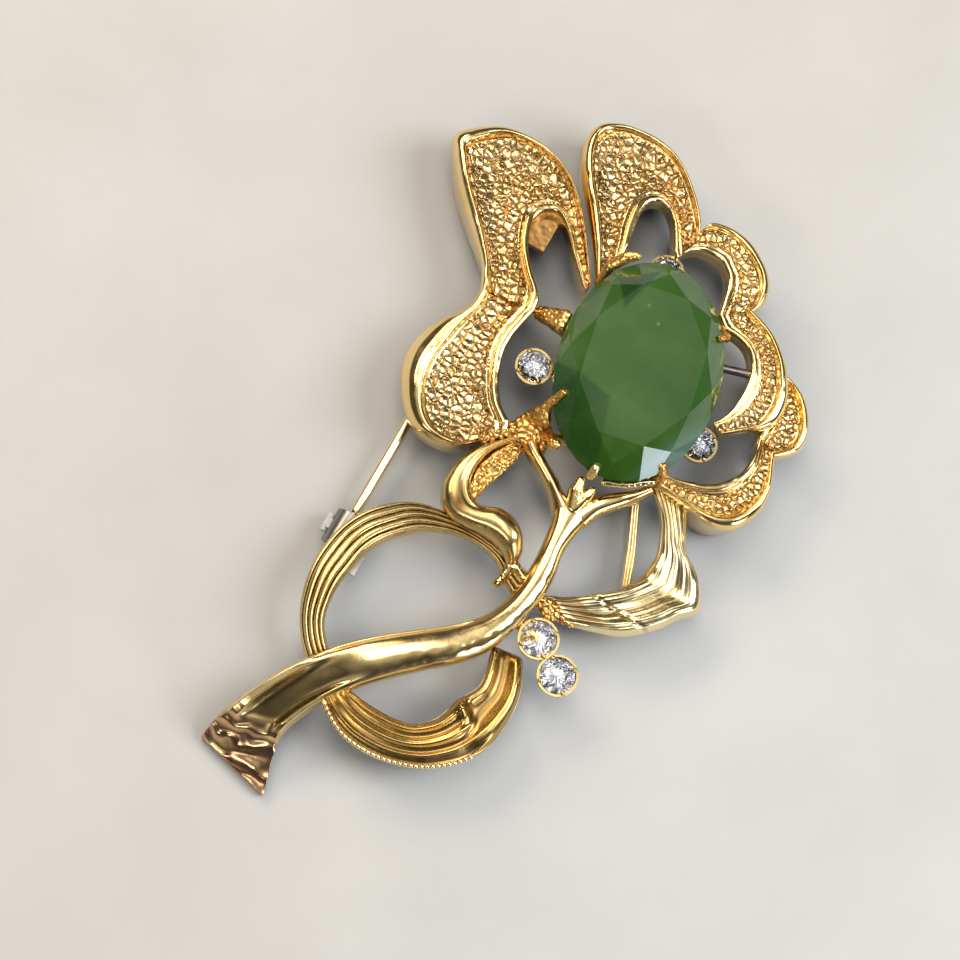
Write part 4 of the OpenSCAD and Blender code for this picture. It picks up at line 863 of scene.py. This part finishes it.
# ---------------------------------------------------------------- cast lumps, claws and small fittings
def lump(name, groups, nodes, mat, rough=0.05, voxel=0.07, body="brooch"):
    """Hulls of balls melted into one casting, with a little hand-finished unevenness. Balls are (x, y, z, r)."""
    bm = bmesh.new()
    for balls in groups:
        one = bmesh.new()
        for x, y, z, r in balls:
            bmesh.ops.create_icosphere(one, subdivisions=2, radius=r, matrix=Matrix.Translation((x, y, z)))
        hull = bmesh.ops.convex_hull(one, input=one.verts)
        inside = [g for g in hull["geom_interior"] if isinstance(g, bmesh.types.BMVert)]
        bmesh.ops.delete(one, geom=inside, context="VERTS")
        tmp = bpy.data.meshes.new("tmp")
        one.to_mesh(tmp)
        one.free()
        bm.from_mesh(tmp)
        bpy.data.meshes.remove(tmp)
    me = bpy.data.meshes.new(name)
    bm.to_mesh(me)
    bm.free()
    ob = bpy.data.objects.new(name, me)
    bpy.context.scene.collection.objects.link(ob)
    m = ob.modifiers.new("melt", "REMESH")
    m.mode = "VOXEL"
    m.voxel_size = voxel
    m = ob.modifiers.new("round_off", "SMOOTH")
    m.factor = 0.5
    m.iterations = 7
    dg = bpy.context.evaluated_depsgraph_get()
    done = bpy.data.meshes.new_from_object(ob.evaluated_get(dg))
    bpy.data.objects.remove(ob)
    co, no = np.empty((2, len(done.vertices) * 3))
    done.vertices.foreach_get("co", co)
    done.vertices.foreach_get("normal", no)
    co, no = co.reshape(-1, 3), no.reshape(-1, 3)
    f1, f2, tag = worley(co[:, 0] + 0.4 * co[:, 2], co[:, 1] + 0.3 * co[:, 2], 0.5)
    lift = rough * (smoothstep(0.0, 0.4, f2 - f1) * (0.5 + tag) - 0.7)
    co = co + no * lift[:, None]
    faces = [list(p.vertices) for p in done.polygons]
    bpy.data.meshes.remove(done)
    # painted shade in the creases between the cells, more where the casting is rougher
    shade_reflection_paint = np.clip(1 - smoothstep(0.0, 0.35, f2 - f1), 0, 1) * min(1, rough * 12)
    return make_piece(name, co, faces, body, nodes, mat, shade_reflection_paint)


CLAWS = {
    "left": [(-4.7, 12.6, 5.2, 0.6), (-2.9, 13, 7, 0.45), (-2.9, 11.9, 6.9, 0.45), (-1.4, 12.2, 4.9, 0.4)],
    "lower_left": [(-1.4, 5, 5.3, 0.5), (-0.2, 4.9, 6.2, 0.5), (-0.7, 5.8, 6.6, 0.42), (-0.1, 7, 8.2, 0.34)],
    "ball": [(0.3, 4.4, 5.2, 0.4), (1.3, 3.5, 6.9, 0.5)],
    "upper_left": [(-2, 17, 5.6, 0.35), (-1.8, 18.4, 6.8, 0.5), (-1.1, 19.3, 7.6, 0.5), (-0.4, 19.7, 8, 0.38)],
    "upper_right": [(8, 18.8, 5.6, 0.4), (8.8, 17.9, 6.9, 0.4), (8.4, 17.2, 8.1, 0.25)],
    "lower_right": [(9.8, 5.5, 5.4, 0.4), (9.7, 5.7, 6.9, 0.42), (9.3, 6, 7.7, 0.36)],
    "bottom": [(4.9, 3.2, 5.2, 0.36), (4.9, 2.8, 7, 0.4), (4.9, 3.2, 7.8, 0.38)],
}


def chain(*balls):
    return [[balls[i], balls[i + 1]] for i in range(len(balls) - 1)]


def milgrain():
    """A row of grains along the lower loop's outer edge."""
    R = spline(RIBBONS["loop_lower"], 1600)
    out = np.array([R[:, 2], R[:, 3]]).T
    d = np.concatenate([[0], np.cumsum(np.linalg.norm(np.diff(out, axis=0), axis=1))])
    first, last = np.interp([100, 960], np.arange(1601), d)
    bm = bmesh.new()
    for k, at in enumerate(np.arange(first, last, 0.43)):
        i = int(np.interp(at, d, np.arange(1601)))
        a, b = R[i, 0:2], R[i, 2:4]
        p = b + (a - b) / np.linalg.norm(a - b) * 0.13
        r = 0.2 + 0.02 * (hashed(k, 3.0, 1) - 0.5)
        at_grain = Matrix.Translation((p[0], p[1], R[i, 5] + 0.06))
        bmesh.ops.create_icosphere(bm, subdivisions=3, radius=r, matrix=at_grain)
    V = [tuple(v.co) for v in bm.verts]
    F = [[v.index for v in f.verts] for f in bm.faces]
    bm.free()
    make_piece("milgrain_grains", V, F, "brooch", ["milgrain_beads"], PALE)


for n in PETALS:
    petal(n)
milgrain()
for n in RIBBONS:
    ribbon(n)
centre_stone()
for n in CHATONS:
    chaton(n)
for n, balls in CLAWS.items():
    groups = [balls] if n == "left" else [balls[:3], balls[2:]] if n == "lower_left" else chain(*balls)
    mat, rough = PALE if n == "bottom" else CAST, 0.02 if n in ("bottom", "upper_left") else 0.06
    lump("claw_" + n + "_cast", groups, ["claw_" + n], mat, rough)
lump("bud_cast", chain((5, 0.3, 4.9, 0.6), (4.55, 1.5, 5.2, 0.62), (4.5, 2.4, 5.5, 0.42))
     + chain((5.1, 0.4, 4.9, 0.6), (5.45, 1.5, 5.2, 0.5), (5.6, 2.2, 5.4, 0.34)), ["bud"], GOLD, 0.006)
lump("tendril_cast", [[(3.1, -6, 4.4, 0.5), (3, -6.8, 4.2, 0.45)], [(3, -6.8, 4.2, 0.45), (2.8, -7.6, 3.8, 0.4)],
                      [(3.3, -5.7, 4.4, 0.35), (4.1, -6.2, 4.6, 0.35), (4.7, -6.5, 4.6, 0.3)]], ["tendril"], GOLD, 0.03)
lump("leaf_calyx_cast", [[(6.2, -7, 4, 0.5), (7.6, -7.1, 4, 0.6), (7.5, -7.8, 3.9, 0.5)],
                         [(7.9, -7.4, 3.9, 0.4), (9.4, -7.5, 3.7, 0.25)]], ["leaf_calyx"], CAST, 0.09)
lump("setting_root_cast", [[(-2.3, 3, 4.6, 0.5), (-1.6, 4.6, 4.8, 0.5), (0.2, 4.8, 4.8, 0.5), (0.6, 3.3, 4.6, 0.5)]]
     + chain((-3.6, 1.5, 5, 0.4), (-2.9, 2.4, 5.3, 0.45), (-2.1, 3.4, 5.1, 0.5)), ["setting_root"], CAST, 0.1)
lump("gallery_strip_cast", chain((6.1, 3.2, 5.6, 0.35), (7.7, 3.9, 5.7, 0.35), (9.3, 5.1, 5.8, 0.35)),
     ["gallery_strip"], PALE, 0.03)

# CAD solids whose shape is right keep it, with a proper metal; the hinge, catch and pin also get softened edges
for n, mat in {"setting_basket": CAST, "cup_left": BRASSY, "cup_top": BRASSY, "cup_right": BRASSY,
               "cup_stem_upper": BRASSY, "cup_stem_lower": BRASSY, "post_left": GOLD, "post_top": GOLD, "post_right": GOLD,
               "post_side": SILVER_PAINTED_SHADE, "post_root": CAST, "post_foot": CAST, "post_stem": CAST,
               "hinge_plate": SHADED_HINGE_CAST, "hinge_rivet": SILVER_PAINTED_SHADE,
               "catch_housing": SILVER_PAINTED_SHADE, "pin_stem": WIRE, "catch_sleeve": SILVER_PAINTED_SHADE}.items():
    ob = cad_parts[n]
    ob.data.materials.clear()
    ob.data.materials.append(mat)
    if n.startswith(("hinge", "catch", "pin")):
        b = ob.modifiers.new("eased_edges", "BEVEL")
        b.width = 0.00005
        b.segments = 2
        b.limit_method = "ANGLE"
        b.angle_limit = math.radians(40)

# ---------------------------------------------------------------- table, light and camera
me = bpy.data.meshes.new("table_top")
me.from_pydata([(-3, -3, 0), (3, -3, 0), (3, 3, 0), (-3, 3, 0)], [], [(0, 1, 2, 3)])
table = bpy.data.objects.new("table_top", me)
bpy.context.scene.collection.objects.link(table)
m, nt, b, co = new_material("pale_table")
n1 = noise(nt, co, 60, 5)
c1 = ramp(nt, n1.outputs["Fac"], (0.3, (0.6, 0.59, 0.57)), (0.7, (0.66, 0.65, 0.63)))
nt.links.new(c1.outputs["Color"], b.inputs["Base Color"])
b.inputs["Roughness"].default_value = 0.6
n2 = noise(nt, co, 1500, 3)
nt.links.new(bump(nt, n2.outputs["Fac"], 0.00001), b.inputs["Normal"])
# seen from below the table is clear, so that the pin and catch show
geo = nt.nodes.new("ShaderNodeNewGeometry")
clear = nt.nodes.new("ShaderNodeBsdfTransparent")
mixs = nt.nodes.new("ShaderNodeMixShader")
out = next(n for n in nt.nodes if n.type == "OUTPUT_MATERIAL")
nt.links.new(geo.outputs["Backfacing"], mixs.inputs[0])
nt.links.new(b.outputs["BSDF"], mixs.inputs[1])
nt.links.new(clear.outputs["BSDF"], mixs.inputs[2])
nt.links.new(mixs.outputs[0], out.inputs["Surface"])
me.materials.append(m)

world = bpy.data.worlds.new("studio")
bpy.context.scene.world = world
world.use_nodes = True
nt = world.node_tree
nt.nodes.clear()
wo = nt.nodes.new("ShaderNodeOutputWorld")
bg = nt.nodes.new("ShaderNodeBackground")
co = nt.nodes.new("ShaderNodeTexCoord")
sep = nt.nodes.new("ShaderNodeSeparateXYZ")
nt.links.new(co.outputs["Generated"], sep.inputs[0])
height = spread(nt, sep.outputs["Z"], -1, 1, kind="LINEAR")
sky = ramp(nt, height, (0.0, (0.35, 0.33, 0.3)), (0.5, (0.6, 0.58, 0.55)),
           (0.6, (0.16, 0.15, 0.14)), (0.8, (0.08, 0.08, 0.08)), (0.92, (0.3, 0.29, 0.27)),
           (0.975, (0.95, 0.92, 0.86)), (1.0, (1.0, 0.98, 0.94)))
nt.links.new(sky.outputs["Color"], bg.inputs["Color"])
bg.inputs["Strength"].default_value = 0.55
nt.links.new(bg.outputs["Background"], wo.inputs["Surface"])


def softbox(name, where, size, power, colour, at=(0, 0.003, 0.004)):
    li = bpy.data.lights.new(name, "AREA")
    li.shape = "RECTANGLE"
    li.size, li.size_y = size
    li.energy = power
    li.color = colour
    o = bpy.data.objects.new(name, li)
    o.location = where
    o.rotation_euler = (Vector(at) - Vector(where)).to_track_quat("-Z", "Y").to_euler()
    bpy.context.scene.collection.objects.link(o)


softbox("window", (0.22, 0.1, 0.26), (0.16, 0.22), 0.75, (0.9, 0.95, 1.0))
softbox("warm_side", (-0.21, 0.1, 0.22), (0.2, 0.1), 0.42, (1.0, 0.84, 0.62))
softbox("front_fill", (-0.075, -0.215, 0.225), (0.14, 0.06), 0.16, (1.0, 0.95, 0.88))
softbox("low_window", (0.268, -0.111, 0.081), (0.1, 0.085), 0.21, (0.8, 0.9, 1.0))
softbox("overhead", (-0.06, 0.06, 0.4), (0.12, 0.3), 0.4, (1.0, 0.97, 0.93))

TILT, ROLL, FAR = math.radians(14), math.radians(30), 0.2
aim = Vector((-0.0023, -0.0012, 0.004))
away = Vector((0, -math.sin(TILT), math.cos(TILT)))
up_v = Vector((0, math.cos(TILT), math.sin(TILT)))
right_v = Vector((1, 0, 0))
cam_x = right_v * math.cos(ROLL) + up_v * math.sin(ROLL)
cam_y = up_v * math.cos(ROLL) - right_v * math.sin(ROLL)
rot = Matrix((cam_x, cam_y, away)).transposed()
cam = bpy.data.cameras.new("camera")
cam.lens = 96.75
cam.sensor_width = 36
cam.clip_start = 0.01
camera = bpy.data.objects.new("camera", cam)
camera.matrix_world = Matrix.Translation(aim + away * FAR) @ rot.to_4x4()
bpy.context.scene.collection.objects.link(camera)
bpy.context.scene.camera = camera
bpy.context.scene.view_settings.view_transform = "Standard"
cyc = bpy.context.scene.cycles
cyc.max_bounces, cyc.glossy_bounces, cyc.transmission_bounces = 8, 4, 6
cyc.caustics_reflective = cyc.caustics_refractive = False
